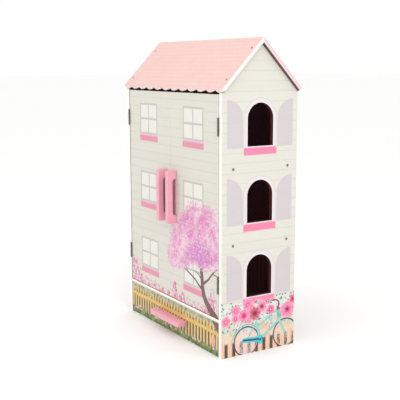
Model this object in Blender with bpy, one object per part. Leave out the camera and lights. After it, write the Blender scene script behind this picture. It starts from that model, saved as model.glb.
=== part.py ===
"""A wooden dollhouse: two gabled walls, three floors, two doors and a drawer.

Metres. X runs along the front, +Y to the rear, +Z up. The origin is on the
surface the house stands on, at the middle of the walls' footprint.
"""
import math

import bmesh
import bpy
from mathutils import Matrix, Vector

# ---- Driving dimensions ---------------------------------------------------
HEIGHT = 0.800              # standing surface to the ridge
BODY_WIDTH = 0.500          # over the side walls
BODY_DEPTH = 0.230          # front edge to rear edge of a side wall
ROOF_PITCH = math.radians(46.0)

WALL_T = 0.012              # side walls
FLOOR_T = 0.009             # floors and base board
BACK_T = 0.005              # back panel
ROOF_T = 0.009              # roof panels
DOOR_T = 0.009              # doors and drawer front
EDGE_ROUND = 0.0008         # eased edge of a painted board

FIT = 0.0003                # gap between two pieces that are fastened together
REVEAL = 0.0012             # visible gap round the doors and the drawer front
DOOR_BACK_CLEARANCE = 0.0015

# Roof
GABLE_OVERHANG = 0.011
EAVE_OVERHANG = 0.008
SCALLOP_WIDTH = 0.044
SCALLOP_DEPTH = 0.008
SCALLOP_STEPS = 8
EAVE_TO_DOOR = 0.0035

# Storeys and side windows
STOREYS = 3
WINDOW_WIDTH = 0.078
WINDOW_HEIGHT = 0.1075
WINDOW_RAISE = 0.0118       # window centre above the middle of the room
WINDOW_ARCH_STEPS = 20

# Handles
HANDLE_LENGTH = 0.142
DRAWER_HANDLE_LENGTH = 0.156
HANDLE_DEPTH = 0.028
HANDLE_T = 0.014
HANDLE_SLOT_DEPTH = 0.012
HANDLE_FOOT = 0.022         # length of each foot, beside the finger slot
HANDLE_CORNER = 0.006
HANDLE_SLOT_CORNER = 0.008
HANDLE_EDGE_ROUND = 0.0015
HANDLE_FROM_SEAM = 0.025    # middle of a handle to the seam between the doors
HANDLE_RAISE = 0.003        # middle of a handle above the middle of its door

# Hinges
HINGE_HEIGHT = 0.045
HINGE_TOP_INSET = 0.078     # door top to the middle of the upper hinge
HINGE_BOTTOM_INSET = 0.088  # door bottom to the middle of the lower hinge
HINGE_KNUCKLES = 5
KNUCKLE_RADIUS = 0.0022
PIN_RADIUS = 0.0010
LEAF_T = 0.0008
FRAME_LEAF_DEPTH = 0.0125
DOOR_LEAF_DEPTH = 0.0080

# Drawer
DRAWER_FRONT_HEIGHT = 0.0885
DRAWER_LIFT = 0.002
DRAWER_BOX_HEIGHT = 0.062
DRAWER_SIDE_T = 0.006
DRAWER_BOTTOM_T = 0.003
DRAWER_BOTTOM_RAISE = 0.004
DRAWER_GROOVE = 0.0025
DRAWER_SIDE_CLEARANCE = 0.002
DRAWER_BACK_CLEARANCE = 0.008

# Fasteners: head radius, head depth, shank radius, length, socket radius, socket depth
FLOOR_SCREW = (0.0035, 0.0026, 0.0018, 0.038, 0.0015, 0.0014)
ROOF_SCREW = (0.0030, 0.0022, 0.0015, 0.030, 0.0013, 0.0012)
HANDLE_SCREW = (0.0030, 0.0020, 0.0015, 0.023, 0.0013, 0.0010)
DRAWER_SCREW = (0.0024, 0.0014, 0.0011, 0.020, 0.0010, 0.0007)
FLOOR_SCREW_INSET = 0.0237  # from a floor's front and rear edges
ROOF_SCREW_INSET = 0.0355   # from the ridge and from the eave, along the slope
ROUND_SEGMENTS = 12
CUTTER_MARGIN = 0.002       # how far a cutter stands out of the face it opens

# ---- Derived places --------------------------------------------------------
HALF_WIDTH = BODY_WIDTH / 2
FRONT = -BODY_DEPTH / 2
REAR = BODY_DEPTH / 2
WALL_INNER = HALF_WIDTH - WALL_T
COS_P = math.cos(ROOF_PITCH)
SIN_P = math.sin(ROOF_PITCH)
TAN_P = math.tan(ROOF_PITCH)

EAVE_Y = REAR + EAVE_OVERHANG
SLOPE_LENGTH = EAVE_Y / COS_P
WALL_APEX_Z = HEIGHT - (ROOF_T + FIT) / COS_P
WALL_EAVE_Z = WALL_APEX_Z - REAR * TAN_P
EAVE_LOW_Z = HEIGHT - EAVE_Y * TAN_P - ROOF_T * COS_P
DOOR_TOP = EAVE_LOW_Z - EAVE_TO_DOOR

BACK_FRONT = REAR - BACK_T
FLOOR_REAR = BACK_FRONT - FIT
FLOOR_FRONT = FRONT + DOOR_T + DOOR_BACK_CLEARANCE
FLOOR_HALF = WALL_INNER - FIT

DRAWER_FRONT_TOP = DRAWER_LIFT + DRAWER_FRONT_HEIGHT
GROUND_BOTTOM = DRAWER_FRONT_TOP + REVEAL
GROUND_TOP = GROUND_BOTTOM + FLOOR_T
DOOR_BOTTOM = GROUND_TOP + REVEAL
STOREY = (WALL_EAVE_Z + FLOOR_T - GROUND_TOP) / STOREYS
ROOM_CLEAR = STOREY - FLOOR_T

HINGE_GAP = 2 * LEAF_T + 3 * FIT
HINGE_X = WALL_INNER - HINGE_GAP / 2
HINGE_Y = FRONT - KNUCKLE_RADIUS - FIT
DOOR_OUTER = WALL_INNER - HINGE_GAP
DOOR_INNER = REVEAL / 2
DOOR_MIDDLE_Z = (DOOR_BOTTOM + DOOR_TOP) / 2
HINGE_ROWS = {
    "upper": DOOR_TOP - HINGE_TOP_INSET,
    "lower": DOOR_BOTTOM + HINGE_BOTTOM_INSET,
}

DRAWER_OUTER = WALL_INNER - DRAWER_SIDE_CLEARANCE
DRAWER_INNER = DRAWER_OUTER - DRAWER_SIDE_T
DRAWER_BOX_FRONT = FRONT + DOOR_T + FIT
DRAWER_REAR = BACK_FRONT - DRAWER_BACK_CLEARANCE
DRAWER_BOX_BOTTOM = FLOOR_T + FIT
DRAWER_BOX_TOP = DRAWER_BOX_BOTTOM + DRAWER_BOX_HEIGHT

SIDES = (("left", -1), ("right", 1))
SLOPES = (("front", -1), ("rear", 1))

# ---- Materials: base colour, roughness, metallic ----------------------------
FINISHES = {
    "wall_paint": ((0.84, 0.83, 0.78), 0.50, 0.0),
    "front_paint": ((0.78, 0.77, 0.69), 0.48, 0.0),
    "floor_paint": ((0.90, 0.89, 0.85), 0.55, 0.0),
    "back_board": ((0.80, 0.78, 0.72), 0.60, 0.0),
    "roof_paint": ((0.94, 0.65, 0.60), 0.50, 0.0),
    "handle_paint": ((0.95, 0.46, 0.55), 0.38, 0.0),
    "drawer_wood": ((0.72, 0.55, 0.35), 0.60, 0.0),
    "zinc_steel": ((0.62, 0.63, 0.65), 0.35, 1.0),
    "hinge_steel": ((0.40, 0.40, 0.41), 0.40, 1.0),
}


def clear_scene():
    for old in list(bpy.data.objects):
        bpy.data.objects.remove(old, do_unlink=True)


def make_material(name):
    colour, roughness, metallic = FINISHES[name]
    material = bpy.data.materials.new(name)
    material.use_nodes = True
    shader = material.node_tree.nodes["Principled BSDF"]
    shader.inputs["Base Color"].default_value = (*colour, 1.0)
    shader.inputs["Roughness"].default_value = roughness
    shader.inputs["Metallic"].default_value = metallic
    return material


# ---- Small modelling tools --------------------------------------------------
def object_from(bm, name, finish):
    """Turn a bmesh into an object; a cutter has no finish and stays hidden."""
    bmesh.ops.recalc_face_normals(bm, faces=bm.faces)
    mesh = bpy.data.meshes.new(name)
    bm.to_mesh(mesh)
    bm.free()
    obj = bpy.data.objects.new(name, mesh)
    bpy.context.scene.collection.objects.link(obj)
    if finish is None:
        obj.hide_render = True
        obj.display_type = "WIRE"
    else:
        mesh.materials.append(MATERIALS[finish])
    return obj


def add_box(bm, low, high):
    centre = (Vector(low) + Vector(high)) / 2
    size = Vector(high) - Vector(low)
    place = Matrix.Translation(centre) @ Matrix.Diagonal((*size, 1.0))
    bmesh.ops.create_cube(bm, size=1.0, matrix=place)


def add_prism(bm, outline, to_start, to_end):
    """Close a solid between two copies of an outline of 2D points."""
    start = [bm.verts.new(to_start(*point)) for point in outline]
    end = [bm.verts.new(to_end(*point)) for point in outline]
    bm.faces.new(start)
    bm.faces.new(list(reversed(end)))
    for index in range(len(outline)):
        after = (index + 1) % len(outline)
        bm.faces.new((start[index], end[index], end[after], start[after]))


def add_turned(bm, start, direction, profile, segments=ROUND_SEGMENTS):
    """Turn a profile of (radius, distance) points, closed on the axis at both ends."""
    turn = Vector((0, 0, 1)).rotation_difference(Vector(direction)).to_matrix()
    rings = []
    for radius, along in profile:
        if radius == 0:
            rings.append([bm.verts.new(Vector(start) + turn @ Vector((0, 0, along)))])
            continue
        ring = []
        for step in range(segments):
            angle = 2 * math.pi * (step + 0.5) / segments
            point = Vector((radius * math.cos(angle), radius * math.sin(angle), along))
            ring.append(bm.verts.new(Vector(start) + turn @ point))
        rings.append(ring)
    for near, far in zip(rings, rings[1:]):
        for step in range(segments):
            after = (step + 1) % segments
            corners = [near[step % len(near)], near[after % len(near)]]
            corners += [far[after % len(far)], far[step % len(far)]]
            unique = list(dict.fromkeys(corners))
            bm.faces.new(unique)


def smooth_round(obj):
    obj.data.shade_smooth()
    obj.data.set_sharp_from_angle(angle=math.radians(35))


def ease_edges(obj, width=EDGE_ROUND, segments=2):
    bevel = obj.modifiers.new("eased_edges", "BEVEL")
    bevel.width = width
    bevel.segments = segments
    bevel.limit_method = "ANGLE"
    bevel.angle_limit = math.radians(40)
    bevel.harden_normals = False


def boolean(obj, other, operation="DIFFERENCE"):
    modifier = obj.modifiers.new(other.name, "BOOLEAN")
    modifier.operation = operation
    modifier.solver = "EXACT"
    modifier.object = other


def board(name, low, high, finish, ease=True):
    bm = bmesh.new()
    add_box(bm, low, high)
    obj = object_from(bm, name, finish)
    if ease:
        ease_edges(obj)
    return obj


def fillet(before, corner, after, radius, steps):
    """Points of the arc that rounds one corner of an outline."""
    to_before = (Vector(before) - Vector(corner)).normalized()
    to_after = (Vector(after) - Vector(corner)).normalized()
    half = to_before.angle(to_after) / 2
    centre = Vector(corner) + (to_before + to_after).normalized() * radius / math.sin(half)
    start = Vector(corner) + to_before * radius / math.tan(half) - centre
    end = Vector(corner) + to_after * radius / math.tan(half) - centre
    sweep = start.angle_signed(end)
    return [centre + Matrix.Rotation(-sweep * i / steps, 2) @ start for i in range(steps + 1)]


def rounded_outline(corners, steps=5):
    """Outline through (x, y, radius) corners."""
    points = []
    for index, (x, y, radius) in enumerate(corners):
        if radius == 0:
            points.append(Vector((x, y)))
            continue
        before = corners[index - 1][:2]
        after = corners[(index + 1) % len(corners)][:2]
        points += fillet(before, (x, y), after, radius, steps)
    return points


def attach(parent, *pieces):
    for piece in pieces:
        piece.parent = parent
        piece.matrix_parent_inverse = Matrix.Translation(-parent.location)


def axis_empty(name, place):
    empty = bpy.data.objects.new(name, None)
    empty.location = place
    bpy.context.scene.collection.objects.link(empty)
    return empty


# ---- Fasteners ---------------------------------------------------------------
def screw_profile(size):
    head, head_depth, shank, length, socket, socket_depth = size
    return [
        (0, socket_depth),
        (socket, socket_depth),
        (socket, 0),
        (head, 0),
        (shank, head_depth),
        (shank, length - shank),
        (0, length),
    ]


def screw_hole_profile(size):
    head, head_depth, shank, length = size[:4]
    return [
        (0, -CUTTER_MARGIN),
        (head + FIT, -CUTTER_MARGIN),
        (head + FIT, 0),
        (shank + FIT, head_depth + FIT),
        (shank + FIT, length + FIT),
        (0, length + 2 * FIT),
    ]


def screws(stem, size, places):
    """A screw for each {suffix: (start, direction)} place, and the cutter of the holes."""
    pieces = []
    holes = bmesh.new()
    for suffix, (start, direction) in places.items():
        solid = bmesh.new()
        add_turned(solid, start, direction, screw_profile(size))
        screw = object_from(solid, stem + suffix, "zinc_steel")
        smooth_round(screw)
        pieces.append(screw)
        add_turned(holes, start, direction, screw_hole_profile(size))
    return pieces, object_from(holes, "cutter_" + stem + "holes", None)


# ---- Walls, floors and roof ----------------------------------------------------
def arch_outline(sill_z):
    radius = WINDOW_WIDTH / 2
    spring_z = sill_z + WINDOW_HEIGHT - radius
    points = [(-radius, sill_z), (radius, sill_z)]
    for step in range(WINDOW_ARCH_STEPS + 1):
        angle = math.pi * step / WINDOW_ARCH_STEPS
        points.append((radius * math.cos(angle), spring_z + radius * math.sin(angle)))
    return points


def window_cutter():
    """The arched openings of both side walls, one above the other."""
    reach = HALF_WIDTH + CUTTER_MARGIN
    inner = WALL_INNER - CUTTER_MARGIN
    bm = bmesh.new()
    for side in (-1, 1):
        for storey in range(STOREYS):
            floor_z = GROUND_TOP + storey * STOREY
            sill_z = floor_z + (ROOM_CLEAR - WINDOW_HEIGHT) / 2 + WINDOW_RAISE
            add_prism(
                bm,
                arch_outline(sill_z),
                lambda y, z: (side * inner, y, z),
                lambda y, z: (side * reach, y, z),
            )
    return object_from(bm, "cutter_windows", None)


def side_wall(label, side):
    outline = [
        (FRONT, 0.0),
        (REAR, 0.0),
        (REAR, WALL_EAVE_Z),
        (0.0, WALL_APEX_Z),
        (FRONT, WALL_EAVE_Z),
    ]
    bm = bmesh.new()
    add_prism(
        bm,
        outline,
        lambda y, z: (side * WALL_INNER, y, z),
        lambda y, z: (side * HALF_WIDTH, y, z),
    )
    wall = object_from(bm, "side_wall_" + label, "wall_paint")
    ease_edges(wall)
    return wall


def floor_board(name, bottom, front):
    low = (-FLOOR_HALF, front, bottom)
    high = (FLOOR_HALF, FLOOR_REAR, bottom + FLOOR_T)
    return board(name, low, high, "floor_paint")


def eave_slope_lengths():
    """(x, distance from the ridge) points of the scalloped eave, left to right."""
    radius = (SCALLOP_WIDTH ** 2 / 4 + SCALLOP_DEPTH ** 2) / (2 * SCALLOP_DEPTH)
    half_roof = HALF_WIDTH + GABLE_OVERHANG
    step_width = SCALLOP_WIDTH / SCALLOP_STEPS
    inner_steps = math.ceil(half_roof / step_width) - 1
    places = [index * step_width for index in range(-inner_steps, inner_steps + 1)]
    places = [-half_roof] + places + [half_roof]
    points = []
    for x in places:
        across = (x % SCALLOP_WIDTH) - SCALLOP_WIDTH / 2
        drop = math.sqrt(radius ** 2 - across ** 2) - (radius - SCALLOP_DEPTH)
        points.append((x, SLOPE_LENGTH - SCALLOP_DEPTH + drop))
    return points


def roof_panel(label, side):
    """One slope, cut upright at the ridge and scalloped along the eave."""
    half_roof = HALF_WIDTH + GABLE_OVERHANG
    eave = eave_slope_lengths()

    def place(x, along, depth):
        y = side * (along * COS_P - depth * SIN_P)
        z = HEIGHT - along * SIN_P - depth * COS_P
        return (x, y, z)

    ridge_top = FIT / 2 / COS_P
    ridge_under = ridge_top + ROOF_T * TAN_P
    bm = bmesh.new()
    top = [bm.verts.new(place(x, along, 0.0)) for x, along in eave]
    under = [bm.verts.new(place(x, along, ROOF_T)) for x, along in eave]
    top += [bm.verts.new(place(x, ridge_top, 0.0)) for x in (half_roof, -half_roof)]
    under += [bm.verts.new(place(x, ridge_under, ROOF_T)) for x in (half_roof, -half_roof)]
    bm.faces.new(top)
    bm.faces.new(list(reversed(under)))
    for index in range(len(top)):
        after = (index + 1) % len(top)
        bm.faces.new((top[index], under[index], under[after], top[after]))
    return object_from(bm, "roof_" + label, "roof_paint")


def roof_screw_places(slope):
    into = Vector((0.0, -slope * SIN_P, -COS_P))
    rows = {"ridge": ROOF_SCREW_INSET, "eave": SLOPE_LENGTH - ROOF_SCREW_INSET}
    places = {}
    for label, side in SIDES:
        x = side * (HALF_WIDTH - WALL_T / 2)
        for row, along in rows.items():
            start = Vector((x, slope * along * COS_P, HEIGHT - along * SIN_P))
            places[label + "_" + row] = (start, into)
    return places


def floor_screw_places(side):
    rows = {"front": FLOOR_FRONT + FLOOR_SCREW_INSET, "rear": FLOOR_REAR - FLOOR_SCREW_INSET}
    places = {}
    for storey, name in ((1, "first"), (2, "second")):
        z = GROUND_BOTTOM + storey * STOREY + FLOOR_T / 2
        for row, y in rows.items():
            places[name + "_" + row] = ((side * HALF_WIDTH, y, z), (-side, 0, 0))
    return places


def build_house():
    walls = {label: side_wall(label, side) for label, side in SIDES}
    windows = window_cutter()
    for wall in walls.values():
        boolean(wall, windows)

    floor_board("base_board", 0.0, DRAWER_BOX_FRONT)
    floor_board("ground_floor", GROUND_BOTTOM, FRONT)
    upper_floors = []
    for storey, name in ((1, "first_floor"), (2, "second_floor")):
        upper_floors.append(floor_board(name, GROUND_BOTTOM + storey * STOREY, FLOOR_FRONT))
    board(
        "back_panel",
        (-FLOOR_HALF, BACK_FRONT, 0.0),
        (FLOOR_HALF, REAR, WALL_EAVE_Z),
        "back_board",
    )

    for label, side in SIDES:
        stem = "floor_screw_%s_" % label
        _, holes = screws(stem, FLOOR_SCREW, floor_screw_places(side))
        for piece in (walls[label], *upper_floors):
            boolean(piece, holes)

    for label, slope in SLOPES:
        panel = roof_panel(label, slope)
        stem = "roof_screw_%s_" % label
        _, holes = screws(stem, ROOF_SCREW, roof_screw_places(slope))
        for piece in (panel, *walls.values()):
            boolean(piece, holes)


# ---- Handles -------------------------------------------------------------------
def handle(name, length, centre, along_x):
    """A bow handle whose finger slot opens towards the board behind it."""
    half = length / 2
    slot = half - HANDLE_FOOT
    outline = rounded_outline([
        (-half, FIT, 0),
        (-slot, FIT, 0),
        (-slot, HANDLE_SLOT_DEPTH, HANDLE_SLOT_CORNER),
        (slot, HANDLE_SLOT_DEPTH, HANDLE_SLOT_CORNER),
        (slot, FIT, 0),
        (half, FIT, 0),
        (half, HANDLE_DEPTH, HANDLE_CORNER),
        (-half, HANDLE_DEPTH, HANDLE_CORNER),
    ])
    x0, z0 = centre

    def place(along, out, across):
        if along_x:
            return (x0 + along, FRONT - out, z0 + across)
        return (x0 + across, FRONT - out, z0 + along)

    bm = bmesh.new()
    add_prism(
        bm,
        outline,
        lambda along, out: place(along, out, -HANDLE_T / 2),
        lambda along, out: place(along, out, HANDLE_T / 2),
    )
    obj = object_from(bm, name, "handle_paint")
    ease_edges(obj, HANDLE_EDGE_ROUND)
    smooth_round(obj)

    reach = half - HANDLE_FOOT / 2
    ends = ("left", "right") if along_x else ("lower", "upper")
    feet = {}
    for end, along in zip(ends, (-reach, reach)):
        x, _, z = place(along, 0.0, 0.0)
        feet[end] = ((x, FRONT + DOOR_T, z), (0, -1, 0))
    pieces, holes = screws(name + "_screw_", HANDLE_SCREW, feet)
    boolean(obj, holes)
    return [obj, *pieces], holes


# ---- Doors and hinges -------------------------------------------------------------
def comb_outline(back_y, own_first, z_middle):
    """A hinge leaf seen from the side: a plate with one tab for each of its knuckles."""
    top = z_middle + HINGE_HEIGHT / 2
    pitch = HINGE_HEIGHT / HINGE_KNUCKLES
    plate_front = FRONT + FIT
    points = [(back_y, top - HINGE_HEIGHT), (back_y, top)]
    for index in range(HINGE_KNUCKLES):
        own = (index % 2 == 0) == own_first
        trim = FIT / 2 if own else -FIT / 2
        upper = top - index * pitch - (trim if index else 0)
        lower = top - (index + 1) * pitch + (trim if index < HINGE_KNUCKLES - 1 else 0)
        y = HINGE_Y if own else plate_front
        points += [(y, upper), (y, lower)]
    return points


def hinge_leaf(name, side, out_from_axis, back_y, own_first, z_middle):
    near = side * (HINGE_X + out_from_axis * FIT / 2)
    far = near + side * out_from_axis * LEAF_T
    bm = bmesh.new()
    add_prism(
        bm,
        comb_outline(back_y, own_first, z_middle),
        lambda y, z: (near, y, z),
        lambda y, z: (far, y, z),
    )
    leaf = object_from(bm, name, "hinge_steel")

    pitch = HINGE_HEIGHT / HINGE_KNUCKLES
    knuckles = bmesh.new()
    for index in range(0 if own_first else 1, HINGE_KNUCKLES, 2):
        lower = z_middle + HINGE_HEIGHT / 2 - (index + 1) * pitch + FIT / 2
        tall = pitch - FIT
        profile = [(0, 0), (KNUCKLE_RADIUS, 0), (KNUCKLE_RADIUS, tall), (0, tall)]
        add_turned(knuckles, (side * HINGE_X, HINGE_Y, lower), (0, 0, 1), profile)
    boolean(leaf, object_from(knuckles, "guide_knuckles_" + name, None), "UNION")

    bore = bmesh.new()
    wide = PIN_RADIUS + FIT
    tall = HINGE_HEIGHT + 2 * CUTTER_MARGIN
    foot = (side * HINGE_X, HINGE_Y, z_middle - tall / 2)
    add_turned(bore, foot, (0, 0, 1), [(0, 0), (wide, 0), (wide, tall), (0, tall)])
    boolean(leaf, object_from(bore, "cutter_pin_" + name, None))
    return leaf


def hinge_pin(name, side, z_middle):
    bm = bmesh.new()
    tall = HINGE_HEIGHT + 2 * FIT
    foot = (side * HINGE_X, HINGE_Y, z_middle - tall / 2)
    add_turned(bm, foot, (0, 0, 1), [(0, 0), (PIN_RADIUS, 0), (PIN_RADIUS, tall), (0, tall)])
    pin = object_from(bm, name, "hinge_steel")
    smooth_round(pin)


def build_door(label, side):
    axis = axis_empty("door_%s_axis" % label, (side * HINGE_X, HINGE_Y, DOOR_MIDDLE_Z))
    x_range = sorted((side * DOOR_INNER, side * DOOR_OUTER))
    door = board(
        "door_" + label,
        (x_range[0], FRONT, DOOR_BOTTOM),
        (x_range[1], FRONT + DOOR_T, DOOR_TOP),
        "front_paint",
    )
    place = (side * HANDLE_FROM_SEAM, DOOR_MIDDLE_Z + HANDLE_RAISE)
    grip, holes = handle("door_handle_" + label, HANDLE_LENGTH, place, False)
    boolean(door, holes)
    attach(axis, door, *grip)

    plate_front = FRONT + FIT
    frame_back = plate_front + FRAME_LEAF_DEPTH
    door_back = plate_front + DOOR_LEAF_DEPTH
    for row, z_middle in HINGE_ROWS.items():
        stem = "hinge_%s_%s_" % (label, row)
        hinge_leaf(stem + "frame_leaf", side, 1, frame_back, True, z_middle)
        hinge_pin(stem + "pin", side, z_middle)
        door_leaf = hinge_leaf(stem + "door_leaf", side, -1, door_back, False, z_middle)
        attach(axis, door_leaf)


# ---- Drawer ---------------------------------------------------------------------
def build_drawer():
    axis = axis_empty("drawer_axis", (0.0, FRONT, DRAWER_LIFT + DRAWER_FRONT_HEIGHT / 2))
    half_front = WALL_INNER - REVEAL
    front = board(
        "drawer_front",
        (-half_front, FRONT, DRAWER_LIFT),
        (half_front, FRONT + DOOR_T, DRAWER_FRONT_TOP),
        "front_paint",
    )
    sides = {}
    for label, side in SIDES:
        x_range = sorted((side * DRAWER_INNER, side * DRAWER_OUTER))
        sides[label] = board(
            "drawer_side_" + label,
            (x_range[0], DRAWER_BOX_FRONT, DRAWER_BOX_BOTTOM),
            (x_range[1], DRAWER_REAR, DRAWER_BOX_TOP),
            "drawer_wood",
        )
    back_half = DRAWER_INNER - FIT
    back_y = DRAWER_REAR - DRAWER_SIDE_T
    back = board(
        "drawer_back",
        (-back_half, back_y, DRAWER_BOX_BOTTOM),
        (back_half, DRAWER_REAR, DRAWER_BOX_TOP),
        "drawer_wood",
    )

    sheet_z = DRAWER_BOX_BOTTOM + DRAWER_BOTTOM_RAISE
    low = Vector((-DRAWER_INNER - DRAWER_GROOVE, DRAWER_BOX_FRONT - DRAWER_GROOVE, sheet_z))
    high = Vector((
        DRAWER_INNER + DRAWER_GROOVE,
        back_y + DRAWER_GROOVE,
        sheet_z + DRAWER_BOTTOM_T,
    ))
    bottom = board("drawer_bottom", low, high, "drawer_wood", ease=False)
    gap = Vector((FIT, FIT, FIT))
    groove_bm = bmesh.new()
    add_box(groove_bm, low - gap, high + gap)
    groove = object_from(groove_bm, "cutter_drawer_groove", None)
    for piece in (front, *sides.values(), back):
        boolean(piece, groove)

    rows = {"lower": 0.35 * DRAWER_BOX_HEIGHT, "upper": 0.75 * DRAWER_BOX_HEIGHT}
    back_screws = []
    for label, side in SIDES:
        places = {}
        for row, rise in rows.items():
            start = (side * DRAWER_OUTER, DRAWER_REAR - DRAWER_SIDE_T / 2, DRAWER_BOX_BOTTOM + rise)
            places[row] = (start, (-side, 0, 0))
        pieces, holes = screws("drawer_screw_%s_" % label, DRAWER_SCREW, places)
        back_screws += pieces
        for piece in (sides[label], back):
            boolean(piece, holes)

    centre = (0.0, DRAWER_LIFT + DRAWER_FRONT_HEIGHT / 2)
    grip, holes = handle("drawer_handle", DRAWER_HANDLE_LENGTH, centre, True)
    boolean(front, holes)
    attach(axis, front, *sides.values(), back, bottom, *back_screws, *grip)


clear_scene()
MATERIALS = {name: make_material(name) for name in FINISHES}
build_house()
for side_label, side_sign in SIDES:
    build_door(side_label, side_sign)
build_drawer()
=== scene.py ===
"""The looks of the dollhouse: printed boards, painted roof and handles, wood and steel.

The pieces are in metres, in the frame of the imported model: X along the front, +Y to the
rear, +Z up. The prints are laid out in millimetres, across each board and up from the
surface the house stands on. Every print is worked out by shader nodes.
"""

import math

import bmesh
import bpy
from mathutils import Matrix, Vector


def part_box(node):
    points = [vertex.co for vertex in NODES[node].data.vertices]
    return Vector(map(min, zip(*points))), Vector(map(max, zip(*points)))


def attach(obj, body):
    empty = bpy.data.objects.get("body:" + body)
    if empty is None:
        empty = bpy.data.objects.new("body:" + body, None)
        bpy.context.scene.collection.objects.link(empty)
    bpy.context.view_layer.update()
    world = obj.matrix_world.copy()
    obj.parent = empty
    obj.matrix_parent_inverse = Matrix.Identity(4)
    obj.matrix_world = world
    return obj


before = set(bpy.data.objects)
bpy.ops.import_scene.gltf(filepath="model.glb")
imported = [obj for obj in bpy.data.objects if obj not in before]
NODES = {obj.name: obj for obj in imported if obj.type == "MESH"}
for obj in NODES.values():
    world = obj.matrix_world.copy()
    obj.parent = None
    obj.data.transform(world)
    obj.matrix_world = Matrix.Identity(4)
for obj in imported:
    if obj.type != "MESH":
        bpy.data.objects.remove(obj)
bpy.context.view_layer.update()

# ---- Sizes taken from the frame, in millimetres ----------------------------------------
MM = 1000.0


def box_mm(node):
    """Lowest and highest corner of a CAD node, in millimetres."""
    low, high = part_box(node)
    return low * MM, high * MM


HALF_WIDTH = box_mm("side_wall_right")[1].x
WALL_INNER = box_mm("side_wall_right")[0].x
FRONT = box_mm("door_left")[0].y
DOOR_BACK = box_mm("door_left")[1].y
BACK_FRONT, BACK_REAR = (corner.y for corner in box_mm("back_panel"))
FLOOR_TOPS = [box_mm(name)[1].z for name in ("ground_floor", "first_floor", "second_floor")]
STOREY = (FLOOR_TOPS[2] - FLOOR_TOPS[0]) / 2
FLOOR_T = box_mm("first_floor")[1].z - box_mm("first_floor")[0].z
RIDGE = box_mm("roof_front")[1].z
GABLE_END = box_mm("roof_front")[1].x


def window_hole():
    """Half width, sill height above its floor and height of the arched hole of a side wall."""
    floor_low, floor_high = FLOOR_TOPS[1], FLOOR_TOPS[2] - FLOOR_T
    widest = STOREY / 3
    rim = [
        v.co * MM
        for v in NODES["side_wall_right"].data.vertices
        if abs(v.co.y * MM) < widest and floor_low < v.co.z * MM < floor_high
    ]
    half = max(abs(co.y) for co in rim)
    low = min(co.z for co in rim)
    return half, low - floor_low, max(co.z for co in rim) - low


HOLE_HALF, SILL_RISE, HOLE_HEIGHT = window_hole()
SPRING_RISE = HOLE_HEIGHT - HOLE_HALF   # sill to where the arch starts


# ---- Colours -----------------------------------------------------------------------------
PAINT_SHARE = 0.81          # the studio is so bright that paint is darker than it looks


def srgb(red, green, blue, share=PAINT_SHARE):
    """A screen colour from 0 to 255 as the linear colour of the paint."""
    parts = [value / 255 for value in (red, green, blue)]
    linear = [p / 12.92 if p <= 0.04045 else ((p + 0.055) / 1.055) ** 2.4 for p in parts]
    return (*[share * part for part in linear], 1.0)


WALL_CREAM = srgb(232, 229, 218)
WALL_LINE = srgb(196, 194, 184)
WALL_JOINT = srgb(208, 205, 197)
BOARD_EDGE = srgb(250, 247, 236, 1.0)
FRAME_GREY = srgb(204, 205, 196)
PANE = srgb(243, 241, 231)
SILL_PINK = srgb(240, 160, 178)
SIDE_SILL_PINK = srgb(255, 142, 178)
SHUTTER_GREY = srgb(216, 208, 209)
SHUTTER_LINE = srgb(202, 194, 200)
TRIM_PALE = srgb(236, 226, 228)
WHITE = srgb(250, 248, 244)
BARK = srgb(112, 76, 72)
BARK_LIGHT = srgb(138, 102, 96)
ROSE = srgb(236, 150, 198)
ROSE_PALE = srgb(247, 200, 222)
MAGENTA = srgb(222, 118, 190)
PURPLE = srgb(208, 114, 200)
LILAC = srgb(242, 224, 244)
MINT = srgb(176, 216, 190)
HOT_PINK = srgb(250, 92, 158)
CRIMSON = srgb(204, 40, 96)
PETAL_PINK = srgb(246, 130, 174)
PICKET = srgb(244, 200, 104)
PICKET_LIGHT = srgb(252, 222, 148)
RAIL = srgb(248, 200, 92)
GAP_BROWN = srgb(92, 78, 42)
GRASS = srgb(112, 132, 70)
GRASS_DARK = srgb(62, 82, 44)
PEACH = srgb(250, 196, 164)
PLUM = srgb(84, 62, 84)
TEAL = srgb(126, 200, 194)
CYAN = srgb(72, 212, 214)
NAVY = srgb(64, 66, 120)
TYRE = srgb(58, 58, 84)
TAN = srgb(240, 204, 156)
ROOF_PINK = srgb(252, 211, 202)
ROOF_LINE = srgb(246, 194, 186)
HANDLE_PINK = srgb(252, 176, 194)
ROOM_RED = srgb(112, 48, 62)
ROOM_RED_LIGHT = srgb(132, 64, 78)
FLOOR_WOOD = srgb(132, 88, 70)
FLOOR_SEAM = srgb(74, 46, 38)
HARDBOARD = srgb(150, 112, 78)
HARDBOARD_DARK = srgb(116, 82, 54)
BOX_WOOD = srgb(224, 196, 152)
BOX_GRAIN = srgb(190, 152, 104)
ZINC = srgb(150, 152, 150)
STEEL = srgb(132, 130, 126)

PRINT_EDGE = 0.35           # softness of a printed edge
GRADIENT_SPAN = 2.0         # metres, more than twice the house's height
AXIS_TURNS = ((0, 0, 0), (0, 0, -math.pi / 2), (0, math.pi / 2, 0))
FACE_DEPTH = 0.5            # how far behind a face its print still reaches
EVEN = (1.0, 1.0, 1.0)      # grain of a noise that isn't stretched
ROW_KEY = 57.31             # times a row, plus a column: one number for each cell


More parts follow.
